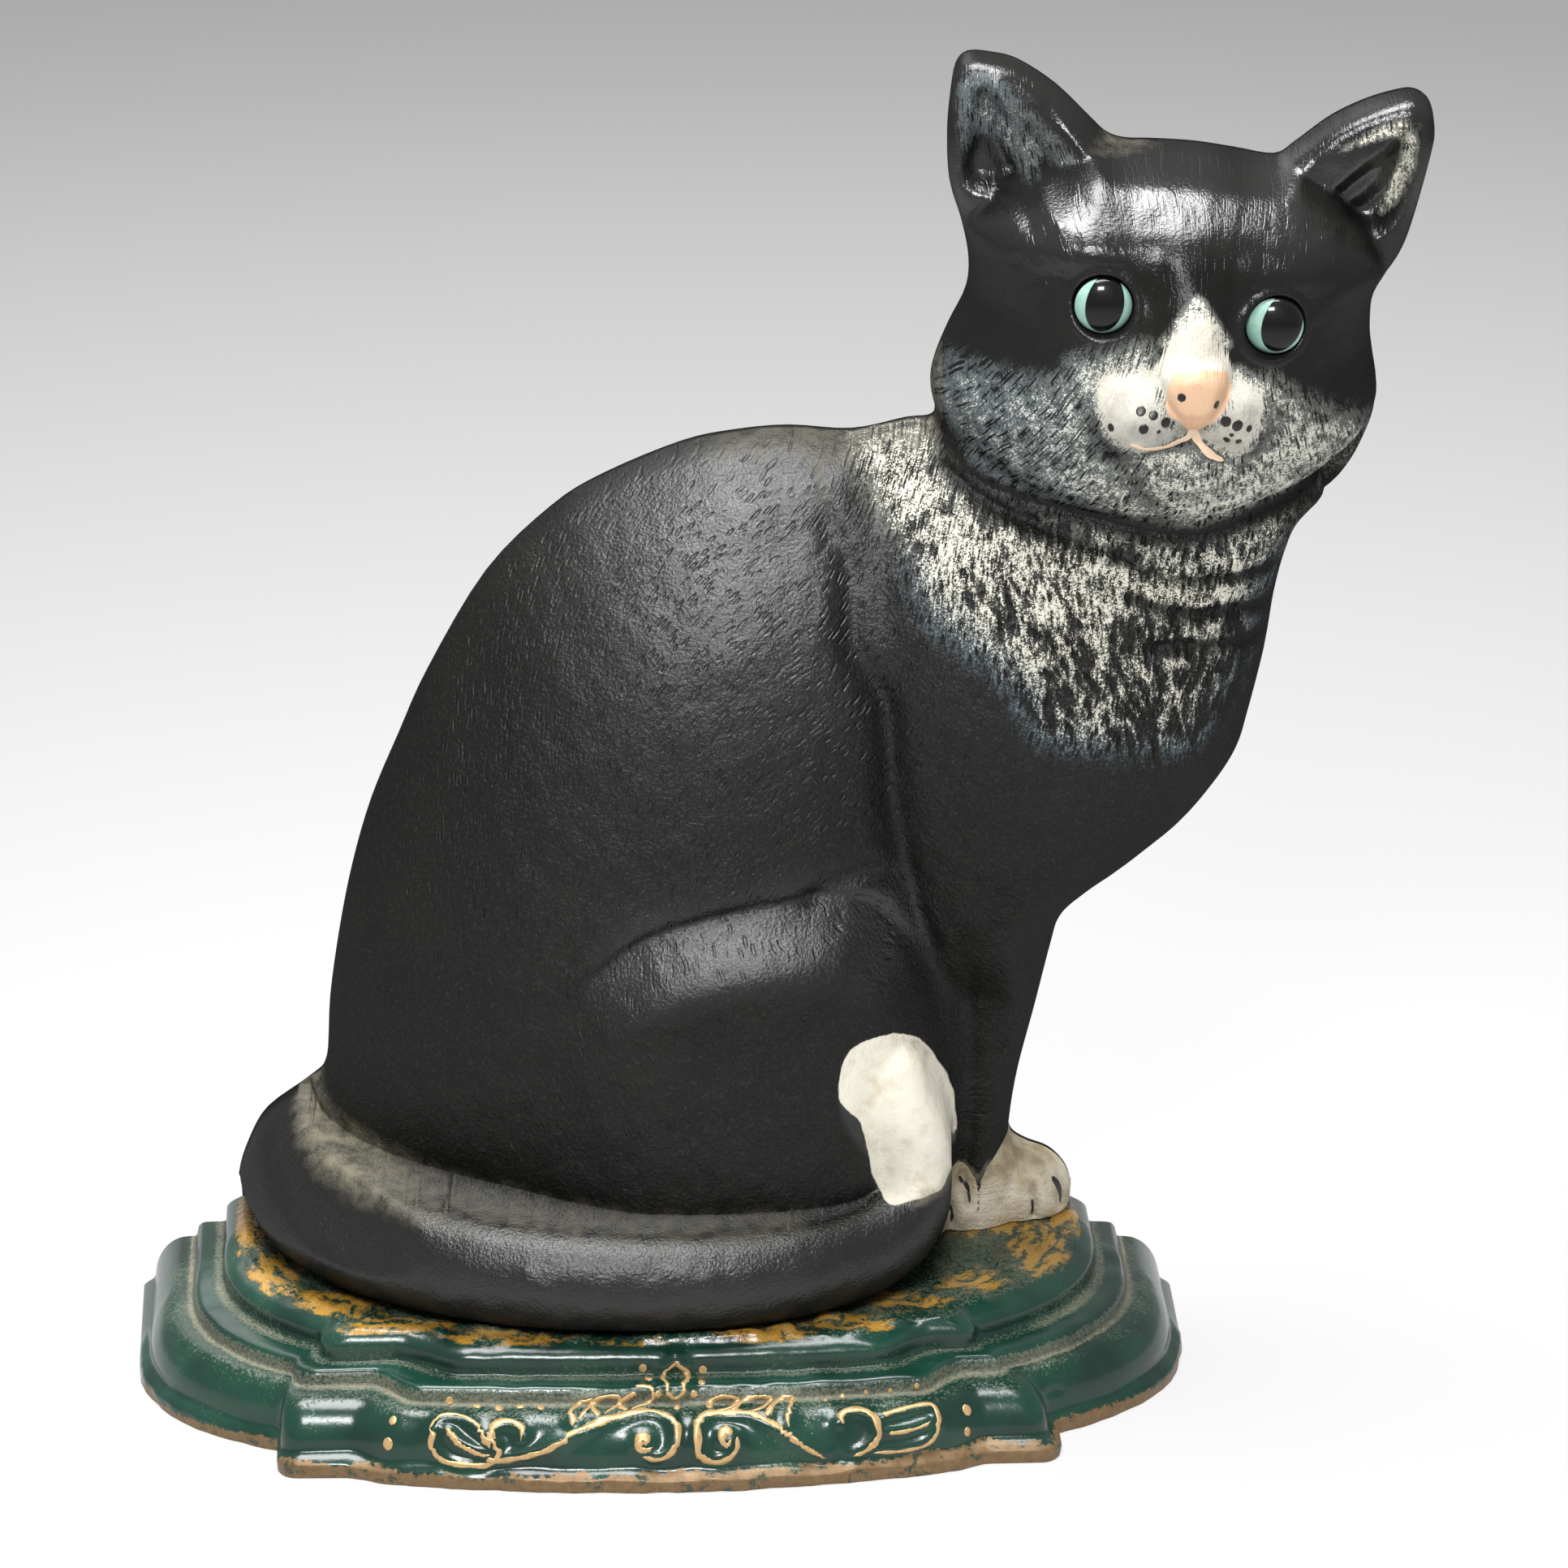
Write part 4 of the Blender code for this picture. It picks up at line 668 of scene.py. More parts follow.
FOLD_DEPTH = 1.1
THIGH = [(-44.8, 70), (-41, 75), (-26.7, 86), (-8.8, 91.5), (9, 93), (21, 90.5), (28, 82),
         (34, 67), (38, 48), (40, 16), (38, -20), (-70, -20), (-62, 40)]
THIGH_STEP = 5.4
THIGH_SLOPE = 12.0
EAR_HOLLOWS = [
    [(44.3, 269.5), (41.2, 258), (41.4, 247), (52, 244.5), (62, 251), (62, 257), (51, 268)],
    [(141, 262), (128, 252.5), (120.5, 244.5), (125, 237), (133, 235), (139, 242), (142.5, 255)],
]
EAR_HOLLOW_DEPTH = 5.0
TAIL = [(-109, 14, -6, 14.5), (-108, 14, 14, 14.3), (-102.5, 13.5, 34, 13.8), (-90, 13, 50, 13.2),
        (-72, 12.5, 61.5, 12.5), (-50, 12, 68.5, 12), (-22, 11.7, 70, 11.6), (2, 11.6, 65, 11.3),
        (20, 12, 54.5, 10.8), (29, 16, 47, 10), (32, 24, 44, 9), (31, 34, 43, 8.8),
        (26.5, 44, 43, 9.6), (25, 49, 42, 9.8)]
FORELEG = [(64, 114, 36, 34), (54, 74, 27, 21), (49, 44, 21, 14), (47, 19, 19, 13), (46, -6, 19, 13)]
NOSE_TIP = ((91.5, 212.5), (9.0, 9.5), 13.5)
BRIDGE = ((91.0, 228.0), (9.5, 24.0), 6.5)
LEFT_PAD = ((79.5, 205.0), (13.5, 12.0), 9.5)
RIGHT_PAD = ((102.5, 205.0), (12.5, 11.5), 9.0)
CHIN = ((91.0, 191.5), (15.0, 11.0), 6.0)
BROWS = [((63, 241.5), (17, 8), 2.6), ((114, 236), (14, 8), 2.2),
         ((52, 202), (17, 17), 2.4), ((120, 202), (15, 17), 2.4)]
EYE_HOLLOW = 2.2


def smooth_max(a, b, blend):
    """The larger of two depths, with the crease between them filleted over the blend."""
    return 0.5 * (a + b + np.sqrt((a - b) ** 2 + blend * blend))


def smooth_min(a, b, blend):
    """The smaller of two depths, with the ridge between them rounded over the blend."""
    return 0.5 * (a + b - np.sqrt((a - b) ** 2 + blend * blend))


def nearest(x, z, start, end):
    """The share along a segment nearest to each place, and the squared distance there."""
    run = end[:2] - start[:2]
    share = ((x - start[0]) * run[0] + (z - start[1]) * run[1]) / max(run @ run, 1e-9)
    share = np.clip(share, 0.0, 1.0)
    return share, (x - start[0] - share * run[0]) ** 2 + (z - start[1] - share * run[1]) ** 2


def line_distance(x, z, line):
    """Distance from each place to a line of points."""
    best = np.full(np.shape(x), 1e12)
    for start, end in zip(line, line[1:]):
        best = np.minimum(best, nearest(x, z, start, end)[1])
    return np.sqrt(best)


def edge_distance(x, z, loop):
    """Distance from each place to a closed loop: positive inside it and negative outside."""
    closed = np.vstack([loop, loop[:1]])
    inside = np.zeros(x.shape, bool)
    for (ax, az), (bx, bz) in zip(closed, closed[1:]):
        if az != bz:
            crosses = (az > z) != (bz > z)
            inside ^= crosses & (x < (bx - ax) * (z - az) / (bz - az) + ax)
    distance = line_distance(x, z, closed)
    return np.where(inside, distance, -distance)


def dome(x, z, centre, radii, depth, lean=0.0, plan=2.0, crown=2.0):
    """A swelling of the relief, leaning by some degrees, square-shouldered for powers above 2."""
    turn = math.radians(lean)
    dx = x - centre[0]
    dz = z - centre[1]
    across = np.abs(dx * math.cos(turn) - dz * math.sin(turn)) / radii[0]
    along = np.abs(dx * math.sin(turn) + dz * math.cos(turn)) / radii[1]
    q = (across ** plan + along ** plan) ** (1.0 / plan)
    swell = depth * np.maximum(1.0 - q ** crown, 0.0) ** (1.0 / crown)
    return np.where(q < 1.0, swell, 30.0 * (1.0 - q))


def swelling(x, z, centre, radii, height, lean=0.0):
    """A soft bump that rises from the surface round it and dies out at its radii."""
    turn = math.radians(lean)
    dx = x - centre[0]
    dz = z - centre[1]
    across = (dx * math.cos(turn) - dz * math.sin(turn)) / radii[0]
    along = (dx * math.sin(turn) + dz * math.cos(turn)) / radii[1]
    return height * np.maximum(1.0 - across ** 2 - along ** 2, 0.0) ** 1.5


def ridge(x, z, path):
    """A rounded ridge along rows of across, height, depth, radius, falling to the back plane."""
    best = np.full(x.shape, -50.0)
    for start, end in zip(path, path[1:]):
        share, squared = nearest(x, z, start, end)
        depth = start[2] + share * (end[2] - start[2])
        radius = start[3] + share * (end[3] - start[3])
        top = depth * np.sqrt(np.maximum(1.0 - squared / radius ** 2, 0.0))
        best = np.maximum(best, np.where(squared < radius ** 2, top, 3.0 * (radius - np.sqrt(squared))))
    return best


def tube(x, z, path):
    """The front half of a round bar: the outermost of the balls strung along its path."""
    best = np.full(x.shape, -50.0)
    for across, height, depth, radius in path:
        squared = (x - across) ** 2 + (z - height) ** 2
        top = depth + np.sqrt(np.maximum(radius ** 2 - squared, 0.0))
        best = np.maximum(best, np.where(squared < radius ** 2, top, -50.0))
    return best


OUTLINE_LOOP = spline(OUTLINE, 4, closed=True)
SHOULDER_LINE = spline(SHOULDER_CREASE, 4, closed=False)
JAW_LINE = spline(JAW_CREASE, 4, closed=False)
THIGH_LOOP = spline(THIGH, 3, closed=True)
EAR_LOOPS = [spline(hollow, 3, closed=True) for hollow in EAR_HOLLOWS]
TAIL_PATH = spline(TAIL, 36, closed=False)


def body_depth(x, z, inset):
    """Trunk, thigh, chest, neck, foreleg and paws."""
    trunk = dome(x, z, (-28, 79), (72, 122), 55, lean=18)
    haunch = dome(x, z, (-16, 40), (62, 76), 56, plan=2.5, crown=2.3)
    chest = dome(x, z, (62, 124), (62, 74), 44, plan=2.3, crown=2.1)
    neck = dome(x, z, (72, 160), (52, 60), 32, plan=2.4, crown=2.4)
    right_paw = dome(x, z, (57, 4.5), (13.5, 12.5), 16, plan=2.2, crown=2.2)
    left_paw = dome(x, z, (43, 4.5), (9, 12.5), 21, plan=2.2, crown=2.2)
    depth = smooth_max(trunk, chest, 3.0)
    depth = smooth_max(depth, neck, 4.0)
    depth = smooth_max(depth, ridge(x, z, np.array(FORELEG, float)), 3.0)
    depth = smooth_max(depth, haunch, 8.0)
    thigh = smooth_step(0.0, THIGH_SLOPE, edge_distance(x, z, THIGH_LOOP))
    depth = depth + THIGH_STEP * thigh * smooth_step(-62.0, -26.0, x)
    groove = CREASE_DEPTH * bell(line_distance(x, z, SHOULDER_LINE), CREASE_WIDTH)
    depth = depth - groove * smooth_step(3.0, 16.0, inset)
    return smooth_max(depth, smooth_max(right_paw, left_paw, 1.0), 1.5)


def head_depth(x, z):
    """Skull, cheeks, ears with their hollow fronts, and the face: brows, nose, muzzle and chin."""
    skull = dome(x, z, (86, 214), (51, 42.5), 43, plan=2.3, crown=2.4)
    jowls = dome(x, z, (83, 205), (43, 32), 42, plan=2.2, crown=3.2)
    left_ear = dome(x, z, (52, 246), (26, 36), 13, plan=2.5, crown=3.0)
    right_ear = dome(x, z, (129, 242), (26, 34), 13, plan=2.5, crown=3.0)
    depth = smooth_max(skull, jowls, 4.0)
    for centre, reach, height in BROWS:
        depth = depth + swelling(x, z, centre, reach, height)
    muzzle = swelling(x, z, *NOSE_TIP)
    for bump in (BRIDGE, LEFT_PAD, RIGHT_PAD, CHIN):
        muzzle = smooth_max(muzzle, swelling(x, z, *bump), 1.0)
    depth = depth + muzzle - 0.5
    for eye_x, eye_z in EYES.values():
        depth = depth - EYE_HOLLOW * bell(np.hypot(x - eye_x, z - eye_z), 9.0)
    depth = smooth_max(depth, smooth_max(left_ear, right_ear, 2.0), 3.0)
    for hollow in EAR_LOOPS:
        depth = depth - EAR_HOLLOW_DEPTH * smooth_step(0.0, 5.0, edge_distance(x, z, hollow))
    return depth


def relief(x, z):
    """Depth of the cat's front in front of the flat back, at a height above the deck."""
    inset = edge_distance(x, z, OUTLINE_LOOP)
    edge = FLASH_WALL + EDGE_ROUNDING * np.sign(inset) * np.sqrt(np.abs(inset))
    body = body_depth(x, z, inset)
    jaw = line_distance(x, z, JAW_LINE)
    below = smooth_step(0.0, 3.0, np.interp(x, JAW_LINE[:, 0], JAW_LINE[:, 1]) - z)
    folds = FOLD_DEPTH * np.cos(2.0 * math.pi * jaw / FOLD_PITCH) * np.exp(-jaw / FOLD_PITCH)
    body = body + folds * below * smooth_step(4.0, 14.0, inset)
    depth = smooth_max(body, head_depth(x, z), 1.0)
    fold = JAW_DEPTH * bell(jaw, JAW_WIDTH)
    depth = depth - fold * smooth_step(1.0, 10.0, inset)
    depth = smooth_min(depth, edge, 4.0)
    tail = smooth_min(tube(x, z, TAIL_PATH), 1.3 * edge + 4.0, 1.5)
    return smooth_max(depth, tail, 1.0)


# Which way the fur lies, in degrees from straight right, at places over the cat
FUR_LIE = [
    (-3, 184, 184), (-25, 170, 208), (-15, 150, 222), (8, 165, 205), (10, 140, 228), (20, 120, 240),
    (-45, 145, 240), (-57, 123, 262), (-72, 90, 270), (-75, 60, 275), (-30, 100, 255), (5, 105, 250),
    (-3, 78, 322), (20, 75, 300), (-12, 37, 312), (-60, 40, 290), (20, 40, 300), (37, 106, 268),
    (28, 180, 240), (30, 160, 255), (40, 172, 290), (51, 154, 302), (70, 151, 294), (88, 148, 272),
    (101, 150, 255), (78, 132, 278), (104, 165, 258), (60, 120, 270), (90, 110, 262), (50, 60, 268),
    (91, 246, 272), (60, 243, 318), (72, 250, 290), (112, 246, 262), (124, 238, 250), (45, 212, 205),
    (50, 200, 215), (62, 195, 235), (91, 190, 270), (70, 215, 215), (112, 214, 325), (124, 200, 318),
    (110, 188, 300), (50, 262, 262), (131, 250, 285), (-90, 14, 180), (-50, 12, 180), (0, 12, 180),
    (31, 35, 110),
]
LIE_STEP = 8.0
LIE_REACH = 17.0
LIE_LEFT = -132.0
LIE_LOW = -8.0


def fur_places():
    """Two smooth maps over the cat, in millimetres: how far along the fur a place is, and across it."""
    across = np.arange(LIE_LEFT, 156.0, LIE_STEP)
    up = np.arange(LIE_LOW, 288.0, LIE_STEP)
    grid_x, grid_z = np.meshgrid(across, up)
    heading = np.zeros((2,) + grid_x.shape)
    for place_x, place_z, angle in FUR_LIE:
        weight = np.exp(-((grid_x - place_x) ** 2 + (grid_z - place_z) ** 2) / LIE_REACH ** 2) + 1e-9
        turn = math.radians(angle)
        heading += weight * np.array([math.cos(turn), math.sin(turn)])[:, None, None]
    heading /= np.hypot(*heading) + 1e-12
    rows, columns = grid_x.shape
    slope_x = np.kron(np.eye(rows), np.diff(np.eye(columns), axis=0))
    slope_z = np.kron(np.diff(np.eye(rows), axis=0), np.eye(columns))
    slopes = np.vstack([slope_x, slope_z])
    normal = slopes.T @ slopes + 1e-6 * np.eye(rows * columns)
    maps = []
    for lie_x, lie_z in ((heading[0], heading[1]), (-heading[1], heading[0])):
        wanted_x = 0.5 * (lie_x[:, 1:] + lie_x[:, :-1]) * LIE_STEP
        wanted_z = 0.5 * (lie_z[1:] + lie_z[:-1]) * LIE_STEP
        wanted = np.concatenate([wanted_x.ravel(), wanted_z.ravel()])
        maps.append(np.linalg.solve(normal, slopes.T @ wanted).reshape(rows, columns))
    return maps, heading


def from_grid(x, z, grid, left, low, step):
    """A grid's values at places between its knots."""
    column = np.clip((x - left) / step, 0.0, grid.shape[1] - 1.001)
    row = np.clip((z - low) / step, 0.0, grid.shape[0] - 1.001)
    i, j = row.astype(int), column.astype(int)
    u, v = row - i, column - j
    return ((1 - u) * (1 - v) * grid[i, j] + (1 - u) * v * grid[i, j + 1]
            + u * (1 - v) * grid[i + 1, j] + u * v * grid[i + 1, j + 1])


fur_maps, lie = fur_places()

# Areas of the cat: the white tail tip, the white nose, the pink of its front, the pads, the paws,
# and where white was dragged over the fur of the cheeks, ears, neck and chest
TAIL_WHITE = [(15.4, 55.1), (16.7, 59.4), (19.6, 61.5), (23.9, 62), (28.3, 60.5), (33.5, 56), (37.8, 47.6),
              (41, 38.9), (42, 32.2), (42.3, 25.2), (40.6, 27.5), (38.5, 24.6), (36.2, 24.2), (32.8, 23.4),
              (27.5, 22.7), (25, 23.9), (23, 27.6), (22, 33.5), (21, 39.1), (19.6, 43.3), (17.5, 45.6),
              (15.3, 49.2)]
NOSE_WHITE = [(92, 228.6), (89.4, 227), (86.6, 224.6), (85.6, 221.6), (83.6, 218.2), (82.8, 213.8),
              (84.4, 210.6), (85.4, 207.3), (90.5, 202.4), (96.3, 205.4), (98.9, 209.2), (99.9, 212.7),
              (99.4, 216.5), (97.2, 221.3), (95.4, 225.3), (94.3, 227.7)]
NOSE_PINK = [(85.9, 215.4), (87.6, 217.3), (92.7, 217.8), (97.4, 216.4), (99, 213.5), (98.7, 210.4),
             (96.1, 206.5), (93, 203), (91.6, 200.9), (89.6, 203.6), (88.4, 205.6), (85.8, 207.8),
             (85.1, 210.8)]
LEFT_WHITE = [(70.5, 214.6), (76.3, 216.3), (82.3, 216.6), (84, 212.3), (85.8, 206.8), (89.9, 202.1),
              (86.9, 200.2), (81.6, 198.6), (76.4, 198.6), (72.9, 201.4), (70.2, 205.5), (69.4, 210)]
RIGHT_WHITE = [(99.9, 215.2), (103.4, 213.8), (106.2, 212.2), (107.5, 208.9), (107, 205.6), (105.6, 201.1),
               (103, 196.8), (99.4, 196), (94.9, 198.6), (91, 201.8), (96.3, 206.3)]
PAW_WHITE = [(47.6, 4), (47.9, 10), (48.9, 14.2), (52.1, 18.8), (55, 19.6), (57.6, 19.8), (61, 19.2),
             (67, 16), (73, 12), (76, 3), (76, -4), (46, -4)]
PAW_WHITE_LEFT = [(41.5, 17), (45, 15.4), (47.2, 11), (47.2, 4), (46, -4), (40, -4), (38, 8)]
BLAZE = [(92, 231.9), (89.6, 230.2), (87.3, 227.8), (85.9, 225), (84.8, 221), (98.4, 220), (97.2, 224.8),
         (94.8, 228.6)]
RUFF = [(16.3, 187.6), (19.8, 180.6), (22.5, 173), (26.9, 165.3), (30.4, 155.9), (37.5, 149.7),
        (44.7, 144.8), (51.8, 137.9), (54.6, 131), (60.8, 126.7), (71.6, 124), (80.6, 124), (89.8, 122.5),
        (96.4, 124.3), (102, 129.8), (106, 138.2), (110.1, 150.4), (114, 161.3), (118, 172), (118, 182),
        (107, 180), (96.5, 177), (86, 178), (75, 182), (64, 186), (53, 190), (42, 194.5), (36, 196),
        (28, 193)]
RUFF_BRIGHT = [(17, 187), (28, 183), (38, 173), (48, 166.5), (60, 165.5), (79, 168.5), (98, 168.5)]
CHEEK_LEFT = [(35, 201), (37.7, 205.8), (40.3, 209.5), (47.9, 211.4), (56.4, 212), (65, 214.6), (72, 217),
              (70, 208), (71, 198), (78, 190), (86, 181), (84, 173), (72, 178), (62, 183), (48, 189),
              (38, 195)]
CHEEK_RIGHT = [(106, 213.5), (114.4, 208.5), (124, 202), (131, 196.5), (134, 190), (130, 182), (118, 175),
               (108, 173), (96, 171), (86, 173), (84, 186), (96, 190), (104, 195), (108.5, 202)]
CHIN_WHITE = [(77, 197), (84, 198.6), (91, 199), (97, 196), (103, 196), (102.6, 190), (99, 185.5),
              (93, 183), (85, 183), (79.4, 188)]
EYE_SMEAR = [(64, 217), (72, 219.5), (82, 221.5), (84, 214), (80, 208), (68, 208)]
EAR_BRUSHED = [(41.4, 271.5), (46.9, 272.4), (52.1, 269.2), (60.1, 260.4), (66, 254.4), (60.3, 252.6),
               (56, 248.6), (52.6, 252), (48.6, 256.6), (44.7, 257.2), (41.6, 254.6), (40.6, 264.8)]
EAR_CREAM = [(124, 255.2), (132.5, 260.4), (137.7, 261.9), (140.5, 259.2), (140.5, 252.2), (137.3, 243.9),
             (133.1, 240), (135.4, 246), (137.7, 252.8), (136.6, 258.2), (131.5, 257.6)]


def area(x, z, points):
    """Distance inside a painted area's edge, and negative outside it."""
    return edge_distance(x, z, spline(points, 5, closed=True))


def along_line(x, z, points, reach):
    """1 on a line through the points, dying out softly over a reach either side of it."""
    return bell(line_distance(x, z, spline(points, 5, closed=False)), reach)


# Gouge cuts: how many try to fit, where, how long and wide and deep, as (count, area, length, width, depth)
GOUGE_STEP = 0.3
GOUGE_AREAS = [
    (330, [(40, 160), (56, 150), (62, 132), (84, 124), (102, 132), (108, 152), (92, 158), (70, 156),
           (56, 166)], 7.6, 0.62, 0.7),
    (330, [(28, 172), (44, 160), (64, 160), (88, 164), (106, 162), (108, 170), (84, 168), (60, 178),
           (40, 186)], 4.4, 0.55, 0.55),
    (150, [(48, 246), (58, 252), (74, 246), (76, 236), (62, 233), (50, 236)], 3.8, 0.5, 0.6),
    (60, [(76, 252), (100, 251), (108, 246), (106, 238), (80, 240)], 3.4, 0.34, 0.34),
    (150, [(-38, 176), (-8, 186), (12, 184), (16, 150), (24, 122), (-6, 118), (-34, 134),
           (-48, 158)], 3.4, 0.5, 0.34),
    (70, [(-48, 158), (-34, 134), (-6, 118), (-10, 100), (-60, 80), (-92, 78), (-84, 112),
          (-66, 146)], 4.2, 0.5, 0.3),
    (110, [(-60, 82), (-44, 70), (-26, 86), (8, 92), (26, 84), (36, 52), (20, 26), (-50, 26), (-88, 40),
           (-92, 70)], 4.2, 0.5, 0.34),
    (30, [(30, 120), (46, 122), (52, 90), (54, 50), (42, 40), (34, 84)], 4.8, 0.45, 0.3),
    (110, [(40, 210), (58, 214), (70, 200), (80, 184), (62, 182), (42, 192)], 3.0, 0.42, 0.3),
    (110, [(110, 212), (132, 204), (133, 190), (118, 178), (100, 176), (98, 190),
           (108, 198)], 3.0, 0.42, 0.3),
]
raster_x = np.arange(-126.0, 148.0, GOUGE_STEP)
raster_z = np.arange(-2.0, 277.0, GOUGE_STEP)
cuts = np.zeros((len(raster_z), len(raster_x)))
chance = np.random.default_rng(7)
for count, border, length, width, depth in GOUGE_AREAS:
    border = np.array(border, float)
    low_x, low_z = border.min(0)
    high_x, high_z = border.max(0)
    tries = np.stack([chance.uniform(low_x, high_x, count), chance.uniform(low_z, high_z, count)], 1)
    held_in = edge_distance(tries[:, 0], tries[:, 1], border) + chance.normal(0.0, 2.0, count) > 0.0
    for place_x, place_z in tries[held_in]:
        turn_x, turn_z = (
            float(from_grid(np.array(place_x), np.array(place_z), grid, LIE_LEFT, LIE_LOW, LIE_STEP))
            for grid in lie)
        turn = math.atan2(turn_z, turn_x) + chance.normal(0.0, 0.16)
        long = 0.5 * length * chance.uniform(0.5, 1.35)
        wide = width * chance.uniform(0.75, 1.3)
        deep = depth * chance.uniform(0.45, 1.2)
        span = int((long + 3.0 * wide) / GOUGE_STEP)
        column = int((place_x - raster_x[0]) / GOUGE_STEP)
        row = int((place_z - raster_z[0]) / GOUGE_STEP)
        rows = slice(max(row - span, 0), row + span + 1)
        columns = slice(max(column - span, 0), column + span + 1)
        dx = raster_x[columns][None, :] - place_x
        dz = raster_z[rows][:, None] - place_z
        along = dx * math.cos(turn) + dz * math.sin(turn)
        across = dz * math.cos(turn) - dx * math.sin(turn)
        taper = np.clip(1.0 - (along / long) ** 2, 0.0, 1.0)
        cut = deep * taper * bell(across, wide * (0.55 + 0.45 * taper))
        cuts[rows, columns] = np.maximum(cuts[rows, columns], cut)

# The casting's mesh: rows just inside the outline, along the tail and round the eyes, finer over the
# head and the chest, then the wall to the flat back and the hollow behind
FACE_STEP = 0.64
BODY_STEP = 0.9
HOLLOW_STEP = 1.5
SOCKET_RADIUS = 6.6
HEAD_LEFT, HEAD_LOW = 10.0, 150.0
CHEST_LEFT, CHEST_LOW = 36.0, 112.0
EDGE_BAND = 3.6
EDGE_INSETS = (0.18, 0.5, 0.95, 1.6, 2.4, 3.3)
TAIL_MARGINS = (-0.7, -0.25, 0.1, 0.6)


def even_loop(loop, step):
    """The same closed loop with points an even step apart."""
    closed = np.vstack([loop, loop[:1]])
    run = np.concatenate([[0.0], np.cumsum(np.linalg.norm(np.diff(closed, axis=0), axis=1))])
    marks = np.linspace(0.0, run[-1], int(run[-1] / step), endpoint=False)
    return np.stack([np.interp(marks, run, closed[:, 0]), np.interp(marks, run, closed[:, 1])], 1)


def footed_loop(step):
    """The cat's outline, cut off level where it stands on the deck."""
    loop = even_loop(OUTLINE_LOOP, step)
    above = loop[:, 1] > SEAT_GAP + 0.5 * step
    start = int(np.flatnonzero(above & ~np.roll(above, 1))[0])
    arc = np.roll(loop, -start, axis=0)[:int(above.sum())]
    right_to_left = np.linspace(arc[-1][0], arc[0][0], int(abs(arc[-1][0] - arc[0][0]) / step) + 1)
    foot = np.stack([right_to_left, np.full(right_to_left.shape, SEAT_GAP)], 1)
    return np.vstack([arc, foot])


def hex_places(step, left, right, low, high):
    """Places on a triangular grid."""
    x, z = np.meshgrid(np.arange(left, right, step), np.arange(low, high, step * math.sqrt(0.75)))
    x = x + 0.5 * step * (np.arange(len(x)) % 2)[:, None]
    return np.stack([x.ravel(), z.ravel()], 1)


def thinned(places, cell):
    """The same places with at most one to a square cell."""
    _, first = np.unique(np.round(places / cell).astype(int), axis=0, return_index=True)
    return places[np.sort(first)]


def tail_margin(x, z):
    """How far each place lies outside the tail as seen from the front."""
    best = np.full(x.shape, 1e9)
    for across, height, _, radius in TAIL_PATH:
        best = np.minimum(best, np.hypot(x - across, z - height) - radius)
    return best


def socket_margin(x, z):
    """How far each place lies from the rim of the nearer eye socket."""
    return np.minimum.reduce([np.hypot(x - ex, z - ez) - SOCKET_RADIUS for ex, ez in EYES.values()])


loop = footed_loop(0.8)
along = np.roll(loop, -1, axis=0) - np.roll(loop, 1, axis=0)
along = along / np.linalg.norm(along, axis=1)[:, None]
inward = np.stack([-along[:, 1], along[:, 0]], 1)
if np.median(edge_distance(*(loop + inward).T, loop)) < 0.0:
    inward = -inward
rows = []
for inset in EDGE_INSETS:
    row = loop + inward * inset
    rows.append(thinned(row[edge_distance(*row.T, loop) > 0.86 * inset], 0.42))
for margin in TAIL_MARGINS:
    ring = np.vstack([circle((across, height), radius + margin, 96)
                      for across, height, _, radius in TAIL_PATH])
    ring = thinned(ring[tail_margin(*ring.T) > margin - 0.03], 0.6)
    rows.append(ring[edge_distance(*ring.T, loop) > EDGE_BAND])
for eye in EYES.values():
    rows += [circle(eye, SOCKET_RADIUS + margin, 84) for margin in (-0.12, 0.12, 0.55)]
fine = hex_places(FACE_STEP, HEAD_LEFT, 147.0, CHEST_LOW, 276.0)
fine = fine[(fine[:, 0] > CHEST_LEFT) | (fine[:, 1] > HEAD_LOW)]
coarse = hex_places(BODY_STEP, -124.0, 125.0, 0.0, 190.0)
across, up = coarse.T
refined = (up > CHEST_LOW - 0.5) & (across > CHEST_LEFT) | (up > HEAD_LOW - 0.5) & (across > HEAD_LEFT - 0.5)
grid = np.vstack([fine, coarse[~refined]])
grid = grid[(edge_distance(*grid.T, loop) > 3.9) & (np.abs(socket_margin(*grid.T) - 0.2) > 0.7)]
margin = tail_margin(*grid.T)
grid = grid[(margin < -1.2) | (margin > 1.1)]
places = np.vstack([loop] + rows + [grid])
border = [(i, (i + 1) % len(loop)) for i in range(len(loop))]
flat, _, front_faces, _, _, _ = delaunay_2d_cdt([Vector(p) for p in places.tolist()], border, [], 1, 1e-5)
flat = np.array([tuple(p) for p in flat])
x, z = flat.T

HIP_NOTCH = [(9, 95), (16.3, 97.2), (21.5, 98.2), (26, 96)]
NECK_FOLDS = [[(75.6, 169.2), (87.3, 164.3), (98.3, 162.7), (110, 162.5)],
              [(79, 160.4), (91, 156.4), (102.1, 155.3), (111, 152.9)],
              [(83.8, 149.7), (94.7, 149.2), (108.3, 145.9)],
              [(37, 186.5), (50, 178.5), (66, 173), (80, 168.8)]]
EAR_FOLDS = [([(49, 270), (51.2, 265.1), (54.4, 256.5), (58.5, 249), (62, 245)], 2.1, 1.9),
             ([(46.5, 266), (47.6, 258), (51.5, 250.5), (56, 244)], -2.0, 2.2),
             ([(120, 240.5), (126, 243.5), (131.5, 248.5), (134.5, 254)], 1.0, 1.8),
             ([(124.5, 238.5), (131, 241.5), (136, 247), (138, 253)], -1.0, 1.9)]
TOES = [[(65.4, 9.5), (66.4, 6.7), (67, 2.5)], [(60.3, 8.5), (60.6, 5), (60.2, 1.5)],
        [(43.2, 13.4), (44.9, 10.4), (45.4, 6.5)], [(40.2, 9), (41.4, 5.5), (41.6, 2)]]


